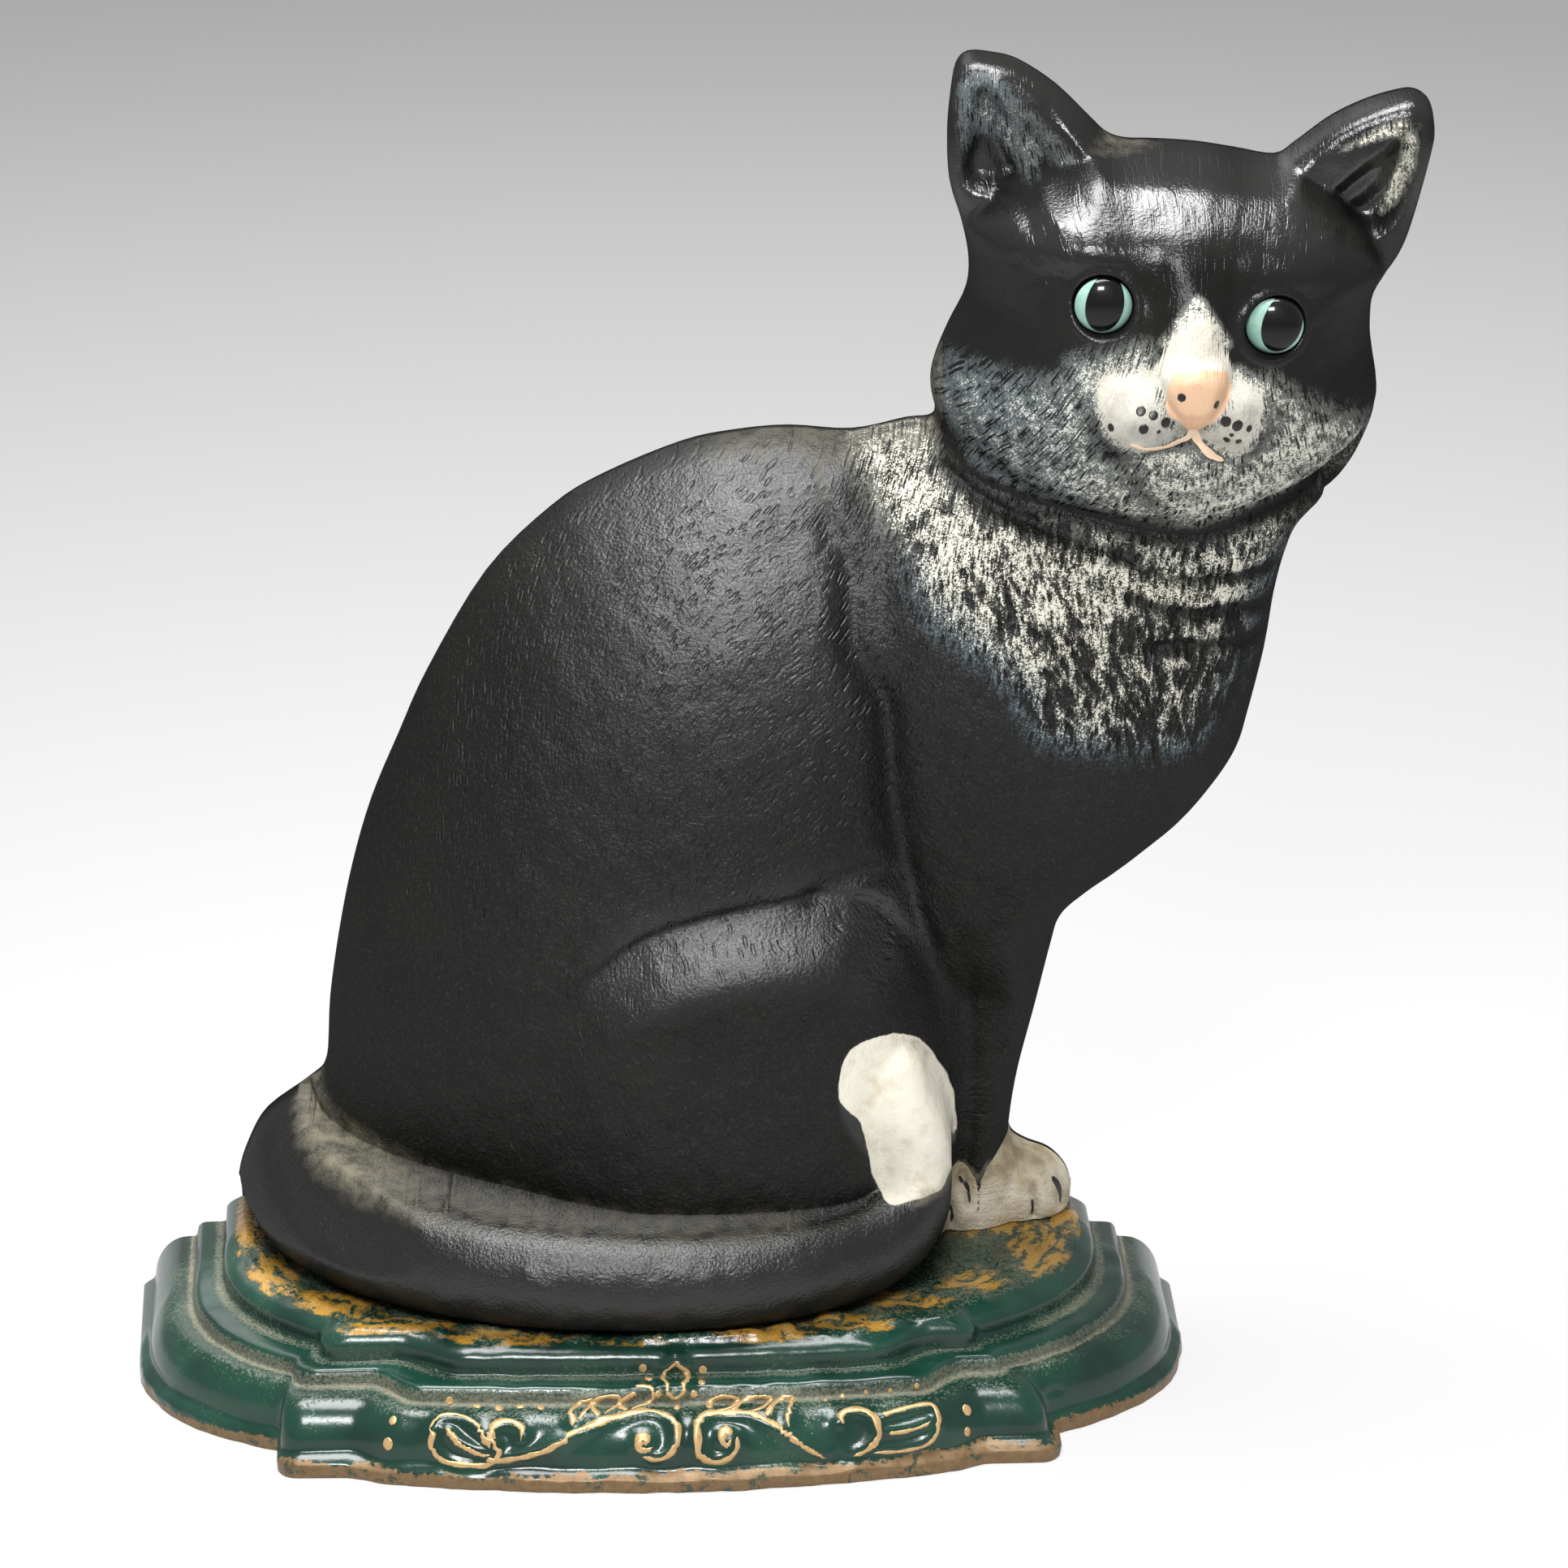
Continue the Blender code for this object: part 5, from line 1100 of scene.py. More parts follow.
def carved(x, z):
    """Small modelling that only a fine mesh holds: folds, toes, the ears' inner ridges, hand-made lumps."""
    depth = 0.26 * waves(x, z, 15.0, 31) + 0.12 * waves(x, z, 6.0, 32)
    crown = (4.5 * smooth_step(230, 245, z) + 2.5 * smooth_step(244, 255, z)) * smooth_step(60, 74, x)
    depth = depth + crown * smooth_step(120, 106, x) * smooth_step(0.0, 3.5, inset)
    depth = depth + 2.0 * blob(x, z, (60.0, 242.0), (9.0, 7.5))
    back = smooth_step(-84, -60, x) * smooth_step(16, 2, x) * smooth_step(112, 140, z)
    depth = depth - 3.2 * back * smooth_step(40, 12, inset)
    thigh = edge_distance(x, z, THIGH_LOOP)
    knee = smooth_step(-58, -26, x) * smooth_step(62, 84, z)
    depth = depth + knee * (4.6 * smooth_step(0, 17, thigh) - 1.5 * bell(thigh + 1.0, 1.6))
    folds = [(HIP_NOTCH, -2.0, 2.6)] + [(fold, -1.6, 1.5) for fold in NECK_FOLDS]
    folds += EAR_FOLDS + [(toe, -1.6, 1.2) for toe in TOES]
    for fold, rise, width in folds:
        depth = depth + rise * along_line(x, z, fold, width)
    return depth + 0.8 * bell(socket_margin(x, z) - 0.75, 0.9)


def eye_seat(eye):
    """Depth of the flat seat in an eye's socket: just under the lowest skin round its rim."""
    return float(relief(*circle(eye, EYE_RADIUS, 16).T).min()) - 0.5


# The front: the relief with its small modelling, the gouge's cuts, a blunt nose and the eyes' seats
NOSE_X, NOSE_Z = 91.8, 211.2
inset = edge_distance(x, z, OUTLINE_LOOP)
depth = relief(x, z)
cut = from_grid(x, z, cuts, raster_x[0], raster_z[0], GOUGE_STEP)
cut = cut * (1.0 - 0.6 * smooth_step(222, 232, z)) * smooth_step(1.0, 4.0, inset)
cut = cut * smooth_step(-0.5, 2.0, tail_margin(x, z)) * smooth_step(0.5, 3.0, socket_margin(x, z))
depth = depth + carved(x, z) * smooth_step(0.5, 4.0, inset) - cut
nose = np.exp(-((x - NOSE_X) / 8.2) ** 4 - ((z - NOSE_Z) / 8.0) ** 4)
blunt = float(relief(np.array([NOSE_X]), np.array([NOSE_Z]))[0]) - 1.6
depth = depth + nose * (smooth_min(depth + 2.4, blunt + 0.0 * x, 2.5) - depth)
for eye in EYES.values():
    sunk = np.hypot(x - eye[0], z - eye[1]) < SOCKET_RADIUS
    depth = np.where(sunk, np.minimum(depth, eye_seat(eye)), depth)
depth = np.maximum(depth, 0.5 * FLASH_WALL)
depth = depth + 0.35 * waves(x, z, 7.0, 33) * (inset < 0.1) * smooth_step(1.0, 3.0, z)
front = np.stack([x, BACK_Y - depth, DECK_HEIGHT + z], 1)


def core_depth(x, z):
    """Depth of the hollow: the relief worn back by the wall, kept clear behind the eye seats."""
    depth = relief(x, z) - FIGURE_WALL
    for reach in (0.6 * FIGURE_WALL, FIGURE_WALL):
        sag = math.sqrt(FIGURE_WALL ** 2 - reach ** 2)
        for dx, dz in circle((0.0, 0.0), reach, 8):
            depth = np.minimum(depth, relief(x + dx, z + dz) - sag)
    for eye in EYES.values():
        clear = np.hypot(x - eye[0], z - eye[1]) < EYE_RADIUS + FIGURE_WALL
        depth = np.where(clear, np.minimum(depth, eye_seat(eye) - FIGURE_WALL), depth)
    return depth


# The back: the rim, the floor that the bosses stand on, and the hollow
RIM_BLEND = 0.8
floor_line = SEAT_GAP + FIGURE_FLOOR
inner = hex_places(HOLLOW_STEP, -124.0, 147.0, floor_line + 1.2, 275.0)
floor_x = np.arange(-122.0, 70.0, 1.2)
rows = [np.stack([floor_x, np.full(len(floor_x), floor_line + off)], 1) for off in (-0.1, 0.1)]
inner = np.vstack([inner] + rows)
inner = inner[edge_distance(*inner.T, loop) > 1.3]
loop_count = len(loop)
places = np.vstack([loop, inner])
back_flat, _, back_faces, _, _, _ = delaunay_2d_cdt([Vector(p) for p in places.tolist()], border, [], 1, 1e-5)
back_flat = np.array([tuple(p) for p in back_flat])
back_x, back_z = back_flat.T
hollow = smooth_max(core_depth(back_x, back_z), 0.0 * back_x, RIM_BLEND) - 0.4 * RIM_BLEND
hollow = hollow + 0.25 * waves(back_x, back_z, 8.0, 41) * smooth_step(0.5, 3.0, hollow)
hollow = np.where(back_z < floor_line, 0.0, np.maximum(hollow, 0.0))
hollow[:loop_count] = 0.0
back = np.stack([back_x, BACK_Y - hollow, DECK_HEIGHT + back_z], 1)

start = len(front)
faces = [tuple(f) for f in front_faces] + [tuple(start + i for i in f) for f in back_faces]
faces += [(i, (i + 1) % loop_count, start + (i + 1) % loop_count, start + i) for i in range(loop_count)]
corners = np.vstack([front, back])

# Black enamel over the cast iron, semi-matt on the body and glossier on the head. The eye sees a soft
# grey sheen broken by short cuts of fur, cream dragged over the ruff's high spots, and solid white tips.
black, tree, out = new_material("black enamel with dragged white")
spot = add(tree, "ShaderNodeTexCoord").outputs["Object"]
kept = {name: add(tree, "ShaderNodeAttribute", {"attribute_name": name}).outputs["Fac"]
        for name in ("white", "pink", "dry", "cool", "gloss", "smooth", "dust", "hatch", "cut", "frayed",
                     "stain_and_shade")}
speck, grain, blotch, cloud, wander = [
    add(tree, "ShaderNodeTexNoise", inputs={"Vector": spot, "Scale": scale, "Detail": detail,
                                            "Roughness": rough})
    for scale, detail, rough in ((2900.0, 2.0, 0.5), (1250.0, 3.0, 0.6), (240.0, 4.0, 0.6), (34.0, 3.0, 0.5),
                                 (85.0, 2.0, 0.5))]
fur = add(tree, "ShaderNodeAttribute", {"attribute_name": "fur"}).outputs["Vector"]
bent = add(tree, "ShaderNodeVectorMath", {"operation": "MULTIPLY_ADD"},
           {0: wander.outputs["Color"], 1: (4.0, 2.0, 0.0), 2: fur})
combed, laid = [add(tree, "ShaderNodeVectorMath", {"operation": "MULTIPLY"}, {0: bent, 1: pitch})
                for pitch in ((0.24, 2.1, 0.0), (0.27, 1.4, 0.0))]
hairs = add(tree, "ShaderNodeTexNoise", {"noise_dimensions": "2D"},
            {"Vector": combed, "Scale": 1.0, "Detail": 3.0})
nicks = add(tree, "ShaderNodeTexVoronoi", {"voronoi_dimensions": "2D"}, {"Vector": laid, "Scale": 1.0})
nick = add(tree, "ShaderNodeMapRange", {"interpolation_type": "SMOOTHSTEP"},
           {"Value": nicks.outputs["Distance"], 1: 0.14, 2: 0.4, 3: 1.0, 4: 0.0})
some = add(tree, "ShaderNodeMapRange", inputs={"Value": nicks.outputs["Color"], 1: 0.4, 2: 0.8})
nick = add(tree, "ShaderNodeMath", {"operation": "MULTIPLY"}, {0: nick, 1: some})
dull = add(tree, "ShaderNodeMath", {"operation": "SUBTRACT"}, {0: 1.0, 1: kept["smooth"]})
worn = add(tree, "ShaderNodeMapRange", inputs={"Value": grain, 1: 0.52, 2: 0.85, 4: dull})

# White dragged nearly dry over the fur: it catches the ridges between cuts and thins out to blue-grey
catch = -1.8
for streaks, on_body, on_head in ((hairs, 1.5, 0.9), (speck, 3.4, 2.2)):
    weight = add(tree, "ShaderNodeMapRange", inputs={"Value": kept["frayed"], 3: on_body, 4: on_head})
    centred = add(tree, "ShaderNodeMath", {"operation": "SUBTRACT"}, {0: streaks, 1: 0.5})
    catch = add(tree, "ShaderNodeMath", {"operation": "MULTIPLY_ADD"}, {0: centred, 1: weight, 2: catch})
for texture in (grain, blotch):
    catch = add(tree, "ShaderNodeMath", {"operation": "MULTIPLY_ADD"}, {0: texture, 1: 1.8, 2: catch})
catch = add(tree, "ShaderNodeMath", {"operation": "MULTIPLY_ADD"}, {0: catch, 1: 1.2, 2: 0.95})
catch = add(tree, "ShaderNodeMath", {"operation": "MULTIPLY"}, {0: catch, 1: kept["dry"]})
for hole, weight in ((nick, -0.62), (kept["cut"], -1.5)):
    catch = add(tree, "ShaderNodeMath", {"operation": "MULTIPLY_ADD"}, {0: hole, 1: weight, 2: catch})
veil = add(tree, "ShaderNodeMath", {"operation": "MULTIPLY"}, {0: kept["frayed"], 1: kept["dry"]})
veil = add(tree, "ShaderNodeMath", {"operation": "MULTIPLY_ADD"}, {0: veil, 1: 0.3, 2: catch})
thin = add(tree, "ShaderNodeMapRange", {"interpolation_type": "SMOOTHSTEP"},
           {"Value": veil, 1: 0.1, 2: 0.52, 4: 0.85})
thick = add(tree, "ShaderNodeMapRange", {"interpolation_type": "SMOOTHSTEP"},
            {"Value": catch, 1: 0.46, 2: 0.76})

# Solid white on the tail's tip, paws and muzzle, a little stained and greyed partly by stain and partly as
# painted shade, flesh pink on the nose, and dust, which between the toes and by the tail tip is painted shade
fray = add(tree, "ShaderNodeMath", {"operation": "MULTIPLY_ADD"}, {0: hairs, 1: 5.0, 2: -2.5})
fray = add(tree, "ShaderNodeMath", {"operation": "MULTIPLY_ADD"},
           {0: fray, 1: kept["frayed"], 2: kept["white"]})
fray = add(tree, "ShaderNodeMath", {"operation": "ADD"}, {0: blotch, 1: fray})
white = add(tree, "ShaderNodeMapRange", {"interpolation_type": "SMOOTHSTEP"},
            {"Value": fray, 1: 0.34, 2: 0.66})
stain = add(tree, "ShaderNodeMapRange", inputs={"Value": blotch, 1: 0.5, 2: 0.85})
low = add(tree, "ShaderNodeSeparateXYZ", inputs={"Vector": spot}).outputs["Z"]
low = add(tree, "ShaderNodeMapRange", inputs={"Value": low, 1: 0.045, 2: 0.06, 3: 1.0, 4: 0.0})
stain_and_shade = add(tree, "ShaderNodeMath", {"operation": "MULTIPLY_ADD"}, {0: blotch, 1: 1.6, 2: 0.2})
stain_and_shade = add(tree, "ShaderNodeMath", {"operation": "MULTIPLY"}, {0: kept["stain_and_shade"], 1: stain_and_shade})
pink = add(tree, "ShaderNodeMath", {"operation": "MULTIPLY_ADD"}, {0: blotch, 1: 1.2, 2: kept["pink"]})
pink = add(tree, "ShaderNodeMapRange", {"interpolation_type": "SMOOTHSTEP"}, {"Value": pink, 1: 0.3, 2: 0.9})
painted = add(tree, "ShaderNodeMath", {"operation": "MAXIMUM"}, {0: white, 1: pink})
mottle = -1.5
for texture, weight in ((speck, 1.8), (blotch, 3.4)):
    mottle = add(tree, "ShaderNodeMath", {"operation": "MULTIPLY_ADD"}, {0: texture, 1: weight, 2: mottle})
dust = add(tree, "ShaderNodeMath", {"operation": "MULTIPLY"}, {0: kept["dust"], 1: mottle})
dust = add(tree, "ShaderNodeMapRange", inputs={"Value": dust, 1: 0.1, 2: 0.95, 4: 0.78})

colour, thins, creams, whites, stain_and_shade_greys, pinks = [
    add(tree, "ShaderNodeMixRGB", inputs={"Fac": share, "Color1": srgb(first), "Color2": srgb(second)})
    for share, first, second in ((cloud, "#0b0b0c", "#1d1d1b"), (kept["cool"], "#72726a", "#56636b"),
                                 (kept["cool"], "#dfdccd", "#b9c1c0"), (stain, "#ebe6d6", "#cfc2a7"),
                                 (low, "#8e8f8c", "#a08f6f"), (stain, "#deb897", "#cd9f7d"))]
# The whites turn grey and brown here partly from stain and partly as painted shade
whites = add(tree, "ShaderNodeMixRGB", inputs={"Fac": stain_and_shade, "Color1": whites, "Color2": stain_and_shade_greys})
for share, coat in ((worn, srgb("#33322d")), (thin, thins), (thick, creams), (white, whites), (pink, pinks),
                    (dust, srgb("#8a8573"))):
    colour = add(tree, "ShaderNodeMixRGB", inputs={"Fac": share, "Color1": colour, "Color2": coat})

# Old enamel has lost its glancing shine: its edges stay dark, so a plain gloss lies over the flat colour
rough = add(tree, "ShaderNodeMapRange", inputs={"Value": kept["smooth"], 3: 0.29, 4: 0.13})
rough = add(tree, "ShaderNodeMath", {"operation": "MULTIPLY_ADD"}, {0: speck, 1: 0.1, 2: rough})
gleam = add(tree, "ShaderNodeMapRange", inputs={"Value": kept["gloss"], 3: 0.008, 4: 0.08})
for share, dulled, dimmed in ((painted, 0.42, 0.025), (thin, 0.6, 0.012), (dust, 0.9, 0.004)):
    rough, gleam = [
        add(tree, "ShaderNodeMixRGB", inputs={"Fac": share, "Color1": before,
                                              "Color2": (grey, grey, grey, 1.0)})
        for before, grey in ((rough, dulled), (gleam, dimmed))]
height = add(tree, "ShaderNodeMath", {"operation": "MULTIPLY_ADD"}, {0: kept["smooth"], 1: -0.3, 2: 0.44})
height = add(tree, "ShaderNodeMath", {"operation": "MULTIPLY"}, {0: height, 1: grain})
pressed = add(tree, "ShaderNodeMath", {"operation": "MULTIPLY"}, {0: nick, 1: kept["hatch"]})
for texture, weight in ((pressed, -0.42), (thick, 0.06), (painted, 0.12)):
    height = add(tree, "ShaderNodeMath", {"operation": "MULTIPLY_ADD"}, {0: texture, 1: weight, 2: height})
bump = add(tree, "ShaderNodeBump", inputs={"Height": height, "Distance": 0.001, "Strength": 1.0})
gleam = add(tree, "ShaderNodeBsdfAnisotropic", inputs={"Color": gleam, "Roughness": rough, "Normal": bump})
paint = add(tree, "ShaderNodeBsdfDiffuse", inputs={"Color": colour, "Normal": bump})
paint = add(tree, "ShaderNodeAddShader", inputs={0: paint, 1: gleam})
tree.links.new(paint.outputs[0], out.inputs["Surface"])

# The hollow is left as it came from the sand: dark, pitted iron with a bloom of rust
iron, tree, out = new_material("raw sand cast iron")
spot = add(tree, "ShaderNodeTexCoord").outputs["Object"]
pits = add(tree, "ShaderNodeTexNoise", inputs={"Vector": spot, "Scale": 700.0, "Detail": 5.0,
                                               "Roughness": 0.7})
bloom = add(tree, "ShaderNodeTexNoise", inputs={"Vector": spot, "Scale": 60.0, "Detail": 4.0})
bloom = add(tree, "ShaderNodeMapRange", inputs={"Value": bloom, 1: 0.4, 2: 0.72})
tint = add(tree, "ShaderNodeMixRGB", inputs={"Fac": bloom, "Color1": srgb("#2b2725"),
                                             "Color2": srgb("#5b3c2a")})
bump = add(tree, "ShaderNodeBump", inputs={"Height": pits, "Distance": 0.0006, "Strength": 0.8})
paint = add(tree, "ShaderNodeBsdfPrincipled", inputs={"Base Color": tint, "Roughness": 0.78, "Metallic": 0.35,
                                                      "Normal": bump})
tree.links.new(paint.outputs[0], out.inputs["Surface"])

cat = mesh_object("cat_casting", corners, faces, [black, iron])
finish_of = np.zeros(len(cat.data.polygons), np.int32)
finish_of[len(front_faces):len(front_faces) + len(back_faces)] = 1
cat.data.polygons.foreach_set("material_index", finish_of)

# Where each coat lies on the front, from 0 to 1, or in millimetres inside an edge for white and pink
tail_out = tail_margin(x, z)
on_tail = smooth_step(1.0, -1.0, tail_out)
pads = np.maximum(area(x, z, LEFT_WHITE), area(x, z, RIGHT_WHITE))
paws = np.maximum(area(x, z, PAW_WHITE), area(x, z, PAW_WHITE_LEFT))
tip_in = area(x, z, TAIL_WHITE)
white = np.maximum.reduce([tip_in, area(x, z, NOSE_WHITE), pads - 0.9, paws])
pink = area(x, z, NOSE_PINK)
# Grey and brown over the whites, partly stain and partly painted shade: darker towards the top of each paw,
# on the lower part of the tail's white tip, and over the muzzle's pads
stain_and_shade = np.maximum.reduce([(0.5 + 0.4 * smooth_step(8, 15, z)) * (paws > -1.0),
                          0.76 * np.exp(-(((x - 89.0) / 24.0) ** 2 + ((z - 203.0) / 14.0) ** 4)),
                          0.22 * smooth_step(42.0, 30.0, z) * (tail_out < 1.0)])

jaw = line_distance(x, z, JAW_LINE)
head = smooth_step(-3.0, 3.0, z - np.interp(x, JAW_LINE[:, 0], JAW_LINE[:, 1])) * smooth_step(30.0, 40.0, x)
ruff_in = area(x, z, RUFF)
dry = smooth_step(-7.0, 12.0, ruff_in) * (0.57 + 0.22 * along_line(x, z, RUFF_BRIGHT, 7.5))
muzzle_near = 0.4 * blob(x, z, (91.0, 204.0), (22.0, 20.0))
for border, strength, soft in ((CHEEK_LEFT, 0.45 + muzzle_near, 5.5), (CHEEK_RIGHT, 0.53 + muzzle_near, 5.5),
                               (CHIN_WHITE, 0.62, 5.5), (EYE_SMEAR, 0.6, 4.5), (EAR_BRUSHED, 0.42, 2.5),
                               (EAR_CREAM, 0.75, 1.2), (BLAZE, 0.95, 1.6), (LEFT_WHITE, 1.0, 3.5),
                               (RIGHT_WHITE, 1.0, 3.0)):
    dry = np.maximum(dry, strength * smooth_step(-soft, soft, area(x, z, border)))
dry = dry * (1.0 - 0.9 * bell(jaw, 2.6))
for fold in NECK_FOLDS:
    dry = dry - 0.42 * along_line(x, z, fold, 1.6)
cool = smooth_step(14.0, 0.0, ruff_in) * smooth_step(178.0, 158.0, z) * (1.0 - head)
cool = np.maximum(cool, head * (0.25 + 0.4 * smooth_step(88.0, 44.0, x)))
cool = (cool * (1.0 - smooth_step(-2.0, 1.0, area(x, z, EAR_CREAM)))
        * (1.0 - smooth_step(-2, 2, area(x, z, BLAZE))))

THIGH_SHEEN = [(-46, 74), (-30.3, 82), (-17.7, 86.5), (0, 89), (12.7, 89.6), (23, 88), (26.5, 83)]
sheen = 0.68 * blob(x, z, (-10.0, 167.0), (38.0, 30.0)) * (1.0 - head)
sheen = sheen + 0.66 * along_line(x, z, THIGH_SHEEN, 8.5) * smooth_step(-44, -26, x)
worn = 0.7 * bell(x - 71.5, 3.6) + 0.6 * bell(x - 101.0, 4.5)
shine = 0.16 + 0.75 * (1.0 - worn) * bell(z - 248.0, 9.0) + 0.35 * smooth_step(257, 265, z)
gloss = np.clip(sheen + 0.19 + head * shine * smooth_step(194, 220, z) + 0.36 * on_tail, 0, 1)
gloss = gloss * (1.0 - 0.92 * blob(x, z, (90.0, 235.0), (15.0, 8.5)))
smooth = np.maximum.reduce([head, 0.6 * on_tail, 0.45 * np.clip(sheen, 0, 1)])

# Dust lies on the shelf over the tail and in creases. The same dust colour between the toes and along the
# right edge of the white tip is painted shade.
SHELF = [(-107.5, 33), (-104.5, 28.2), (-96.8, 26.6), (-83.5, 25.6), (-63.2, 24.4), (-29.5, 23.4), (0, 22.8),
         (18, 22.6)]
shelf = line_distance(x, z, spline(SHELF, 4, closed=False))
shelf = shelf / (1.0 + 0.7 * smooth_step(-66, -96, x))
dust = (0.14 + 0.38 * smooth_step(-70, -98, x)) * bell(shelf, 2.1) + 0.06 * bell(shelf, 4.4)
nape = smooth_step(180, 184, z) * smooth_step(-30, 0, x) * (x < 38)
# The entry along the right edge of the white tail tip is painted shade, not dust
dust = [dust * smooth_step(24, 0, x),
        0.24 * bell(line_distance(x, z, SHOULDER_LINE), 2.0) * smooth_step(172, 184, z),
        0.32 * blob(x, z, (78.0, 256.0), (9.0, 2.0)),
        0.42 * bell(z - 15.0, 3.0) * (paws > -1.0),
        0.5 * bell(tip_in, 1.6) * smooth_step(28, 33, x) * (tail_out < 1.0),
        0.26 * bell(inset - 1.0, 2.0) * nape]
# Painted shade in the clefts between the toes, in the dust colour
dust = np.maximum.reduce(dust + [0.62 * along_line(x, z, toe, 0.9) for toe in TOES])

# Cuts show most on the shoulder and the ruff, and hardly on the head
hatch = np.maximum.reduce([0.25 + 0.75 * blob(x, z, (-5.0, 152.0), (46.0, 40.0)),
                           0.5 * smooth_step(-30, -60, x) * smooth_step(50, 90, z),
                           0.25 * smooth_step(24, 50, z) * (1.0 - head), smooth_step(-6, 6, ruff_in),
                           0.5 * along_line(x, z, THIGH_SHEEN, 9.0)])
hatch = np.where(head > 0.5, 0.13, hatch) * smooth_step(-1.0, 2.0, tail_out)

# The wall and the hollow carry no coats: for white and pink that is a place well outside the edge
OFF = -9.0
for name, values, behind in (("frayed", head, 0.0), ("white", white, OFF), ("pink", pink, OFF),
                             ("dry", np.clip(dry, 0.0, 1.0), 0.0), ("cool", cool, 0.0), ("gloss", gloss, 0.0),
                             ("smooth", smooth, 0.0), ("dust", dust, 0.0), ("hatch", hatch, 0.0),
                             ("cut", cut, 0.0), ("stain_and_shade", stain_and_shade, 0.0)):
    give(cat, name, np.concatenate([values, np.full(len(back), behind)]))
fur = [from_grid(x, z, fur_map, LIE_LEFT, LIE_LOW, LIE_STEP) for fur_map in fur_maps]
give(cat, "fur", np.vstack([np.column_stack(fur + [np.zeros(len(x))]), np.zeros((len(back), 3))]))
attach(cat, "root")
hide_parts("cat_figure")


# Small painted marks, each one touch of a fine brush: black nostrils, whisker dots and claws, and a
# pink mouth line. They stand a tenth of a millimetre or so proud of the enamel, with a soft gloss.
cat_skin = surface_of(cat)


def on_cat(places):
    """Places across and above the deck, moved onto the cat's front."""
    found = []
    for px, pz in places:
        hit, _, _, _ = cat_skin.ray_cast(Vector((px, -80.0, DECK_HEIGHT + pz)), Vector((0.0, 1.0, 0.0)))
        found.append(tuple(hit))
    return found


NOSTRILS = [(88.2, 212.6), (95.9, 210.6)]
WHISKER_DOTS = [((79.7, 208.7), 0.9), ((82.4, 207.9), 0.85), ((85.1, 206.2), 0.95), ((80.3, 205.1), 0.9),
                ((83.6, 204.2), 0.4), ((73.4, 204.3), 0.75), ((98.0, 206.2), 1.0), ((100.6, 205.2), 1.05),
                ((103.2, 204.1), 0.65), ((99.4, 202.9), 0.45), ((98.4, 201.4), 0.7), ((101.0, 201.1), 0.6)]
MOUTH_LINES = [([(91.2, 203), (90.4, 200.9), (87.9, 199.9), (84.6, 199.2), (81.2, 199.5),
                 (77.6, 201.2)], 0.85),
               ([(91.3, 203), (92.2, 200.4), (93.8, 198.3), (95.6, 196.7), (98.2, 195.2)], 1.0)]
CLAW_LINES = [([(64.6, 9.6), (65.9, 7.6), (66.6, 5.0), (66.7, 2.6)], 0.62),
              ([(59.9, 5.4), (60.2, 3.4), (60, 1.4)], 0.4),
              ([(43.0, 13.0), (44.6, 11.0), (45.4, 8.6), (45.5, 6.6)], 0.5),
              ([(40.9, 6.6), (41.5, 4.4), (41.4, 2.2)], 0.45)]
CHIN_MARK = [(82.9, 195.0), (83.6, 194.2), (84.6, 194.6)]

finishes = []
for name, scale, detail, first, second, roughness in (
        ("black brush enamel", 1500.0, 2.0, "#0f0e0f", "#2b2623", 0.35),
        ("flesh pink enamel", 500.0, 3.0, "#e6c3a0", "#f3dcc2", 0.36)):
    finish, tree, out = new_material(name)
    spot = add(tree, "ShaderNodeTexCoord").outputs["Object"]
    grit = add(tree, "ShaderNodeTexNoise", inputs={"Vector": spot, "Scale": scale, "Detail": detail})
    tint = add(tree, "ShaderNodeMixRGB", inputs={"Fac": grit, "Color1": srgb(first), "Color2": srgb(second)})
    paint = add(tree, "ShaderNodeBsdfPrincipled", inputs={"Base Color": tint, "Roughness": roughness})
    tree.links.new(paint.outputs[0], out.inputs["Surface"])
    finishes.append(finish)
ink, flesh = finishes

marks = [dab(on_cat([place])[0], 1.0, cat_skin, 0.0, 1.0) for place in NOSTRILS]
marks += [dab(on_cat([place])[0], 1.22 * half, cat_skin, 0.3, 1.1) for place, half in WHISKER_DOTS]
marks += [stroke(on_cat(points), 1.5 * half, 0.55) for points, half in CLAW_LINES]
marks.append(stroke(on_cat(CHIN_MARK), 0.32, 0.3))
ink_marks = brushed("black_face_marks", marks, cat_skin, ink, 0.12)
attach(ink_marks, "root")
mouth = brushed("pink_mouth_line", [stroke(on_cat(points), half, 0.25) for points, half in MOUTH_LINES],
                cat_skin, flesh, 0.16)
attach(mouth, "root")


# The eyes: domed buttons on a shank through the wall, painted mint green with a black pupil that
# looks to the viewer's left, a thin black rim, and a hard gloss over all.
EYE_RISE = 3.6
EYE_SIDES = 96
RIM_RADIUS = 6.22
EYE_EDGE = 1.6
SHANK_RADIUS = 2.0
SHANK_LENGTH = FIGURE_WALL + 3.0
PUPILS = {"left_eye": ((0.2, 0.7), (4.15, 6.3), 10.0), "right_eye": ((1.5, 0.9), (4.4, 6.4), 16.0)}

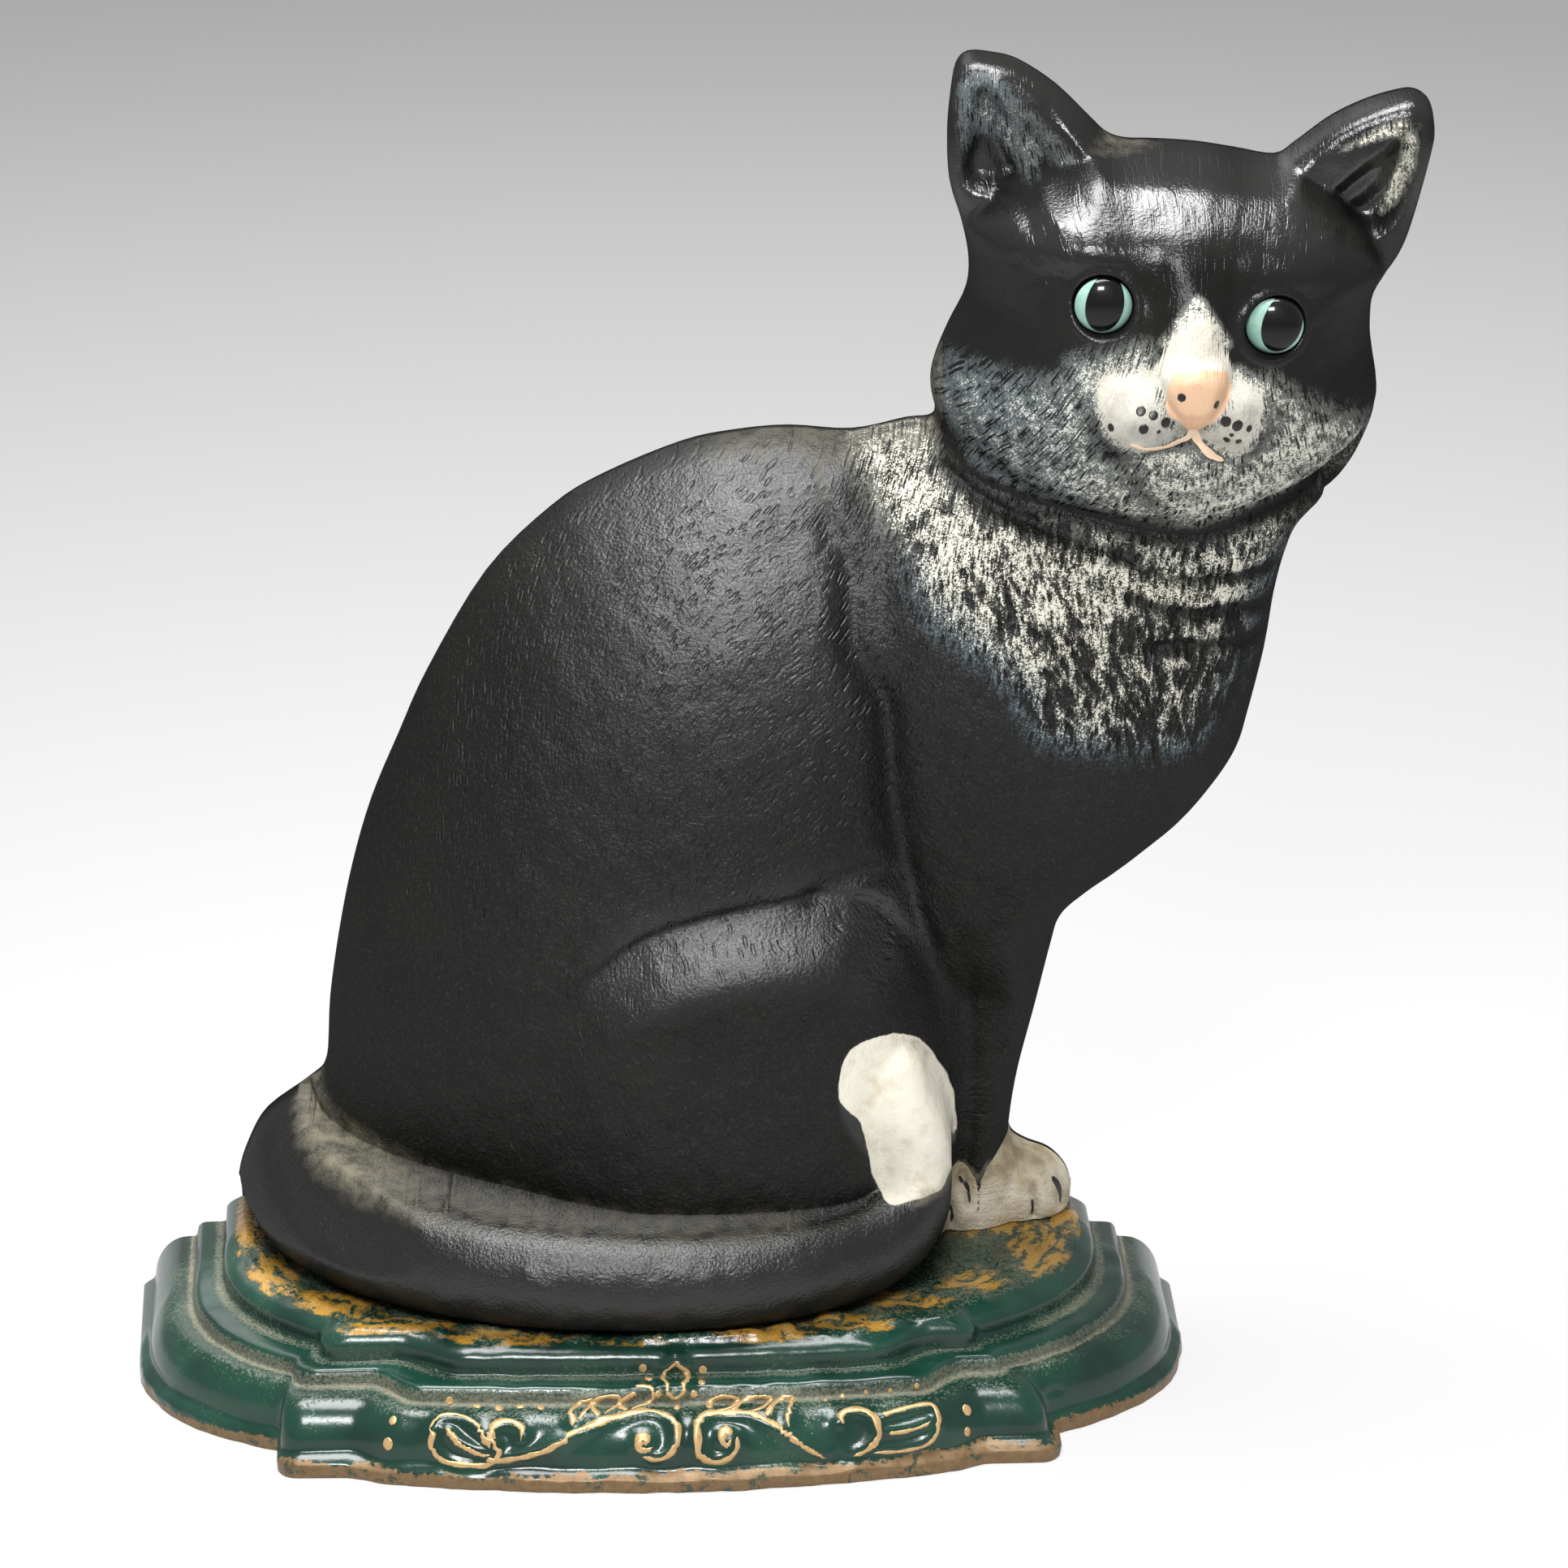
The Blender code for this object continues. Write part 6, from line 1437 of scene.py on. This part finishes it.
glass, tree, out = new_material("eye enamel under clear lacquer")
spot = add(tree, "ShaderNodeTexCoord").outputs["Object"]
haze = add(tree, "ShaderNodeTexNoise", inputs={"Vector": spot, "Scale": 420.0, "Detail": 3.0})
mint = add(tree, "ShaderNodeMixRGB", inputs={"Fac": haze, "Color1": srgb("#73a797"),
                                             "Color2": srgb("#b6d8c9")})
pupil = add(tree, "ShaderNodeAttribute", {"attribute_name": "pupil"}).outputs["Fac"]
inside = add(tree, "ShaderNodeMapRange", {"interpolation_type": "SMOOTHSTEP"},
             {"Value": pupil, 1: -0.07, 2: 0.07})
colour = add(tree, "ShaderNodeMixRGB", inputs={"Fac": inside, "Color1": mint, "Color2": srgb("#08090b")})
rim = add(tree, "ShaderNodeAttribute", {"attribute_name": "rim"}).outputs["Fac"]
edge = add(tree, "ShaderNodeMapRange", {"interpolation_type": "SMOOTHSTEP"},
           {"Value": rim, 1: -0.06, 2: 0.06})
colour = add(tree, "ShaderNodeMixRGB", inputs={"Fac": edge, "Color1": colour, "Color2": srgb("#0b0c0e")})
paint = add(tree, "ShaderNodeBsdfPrincipled", inputs={"Base Color": colour, "Roughness": 0.3, "IOR": 1.5,
                                                      "Specular IOR Level": 0.1, "Coat Weight": 0.6,
                                                      "Coat Roughness": 0.04})
tree.links.new(paint.outputs[0], out.inputs["Surface"])

for name, (eye_x, eye_z) in EYES.items():
    fall = np.linspace(0.0, 0.5 * math.pi, 44)
    radii = np.concatenate([EYE_RADIUS * np.sin(fall),
                            [EYE_RADIUS, EYE_RADIUS, SHANK_RADIUS, SHANK_RADIUS, SHANK_RADIUS - 0.5, 0.0]])
    heights = np.concatenate([EYE_EDGE + EYE_RISE * np.cos(fall),
                              [0.5 * EYE_EDGE, 0.0, 0.0, 0.5 - SHANK_LENGTH, -SHANK_LENGTH, -SHANK_LENGTH]])
    radii[[0, -1]] = 0.05
    dx, dz = np.vstack([circle((0.0, 0.0), radius, EYE_SIDES) for radius in radii]).T
    seat_y = BACK_Y - eye_seat((eye_x, eye_z)) - SEAT_GAP
    rise = np.repeat(heights, EYE_SIDES)
    corners = np.stack([eye_x + dx, seat_y - rise, DECK_HEIGHT + eye_z + dz], 1)
    faces = [tuple(range(EYE_SIDES)), tuple(range(len(corners) - EYE_SIDES, len(corners)))]
    for ring in range(len(radii) - 1):
        faces += ring_faces(ring * EYE_SIDES, (ring + 1) * EYE_SIDES, EYE_SIDES)
    eye = mesh_object(f"{name}_button", corners, faces, [glass])
    (shift_x, shift_z), (wide, tall), lean = PUPILS[name]
    turn = math.radians(lean)
    px = ((dx - shift_x) * math.cos(turn) - (dz - shift_z) * math.sin(turn)) / wide
    pz = ((dx - shift_x) * math.sin(turn) + (dz - shift_z) * math.cos(turn)) / tall
    give(eye, "pupil", (1.0 - np.hypot(px, pz)) * wide)
    give(eye, "rim", np.where(rise > EYE_EDGE + 0.01, np.hypot(dx, dz) - RIM_RADIUS, 1.0))
    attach(eye, "root")
    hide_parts(name)


# Two bosses stand on the cat's floor inside the hollow, and a slotted steel screw with a plain washer
# goes up into each from under the deck. They show only from behind and below.
SCREW_DEPTH = 21.0
BOSS_SIDES = 48
SCREWS = {"left": -72.0, "right": 8.0}
BOSS_PROFILE = [(3.3, SEAT_GAP + 4.0), (8.4, SEAT_GAP + 4.0), (8.0, SEAT_GAP + 6.0), (7.8, 12.0), (7.5, 12.9),
                (6.8, 13.3), (4.2, 13.3), (3.4, 12.8), (3.3, 11.5)]
for side, boss_x in SCREWS.items():
    corners = [(across, forward, DECK_HEIGHT + height) for radius, height in BOSS_PROFILE
               for across, forward in circle((boss_x, BACK_Y - SCREW_DEPTH), radius, BOSS_SIDES)]
    faces = []
    for ring in range(len(BOSS_PROFILE)):
        faces += ring_faces(ring * BOSS_SIDES, (ring + 1) % len(BOSS_PROFILE) * BOSS_SIDES, BOSS_SIDES)
    boss = mesh_object(f"{side}_screw_boss", corners, faces, [iron])
    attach(boss, "root")

steel, tree, out = new_material("zinc plated steel")
spot = add(tree, "ShaderNodeTexCoord").outputs["Object"]
film = add(tree, "ShaderNodeTexNoise", inputs={"Vector": spot, "Scale": 380.0, "Detail": 4.0})
tint = add(tree, "ShaderNodeMixRGB", inputs={"Fac": film, "Color1": srgb("#8b8d8d"),
                                             "Color2": srgb("#c2c3c0")})
rough = add(tree, "ShaderNodeMapRange", inputs={"Value": film, 3: 0.28, 4: 0.5})
paint = add(tree, "ShaderNodeBsdfPrincipled", inputs={"Base Color": tint, "Metallic": 1.0,
                                                      "Roughness": rough})
tree.links.new(paint.outputs[0], out.inputs["Surface"])
for side in SCREWS:
    for name in (f"plinth_screw_{side}", f"screw_washer_{side}"):
        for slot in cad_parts[name].material_slots:
            slot.material = steel
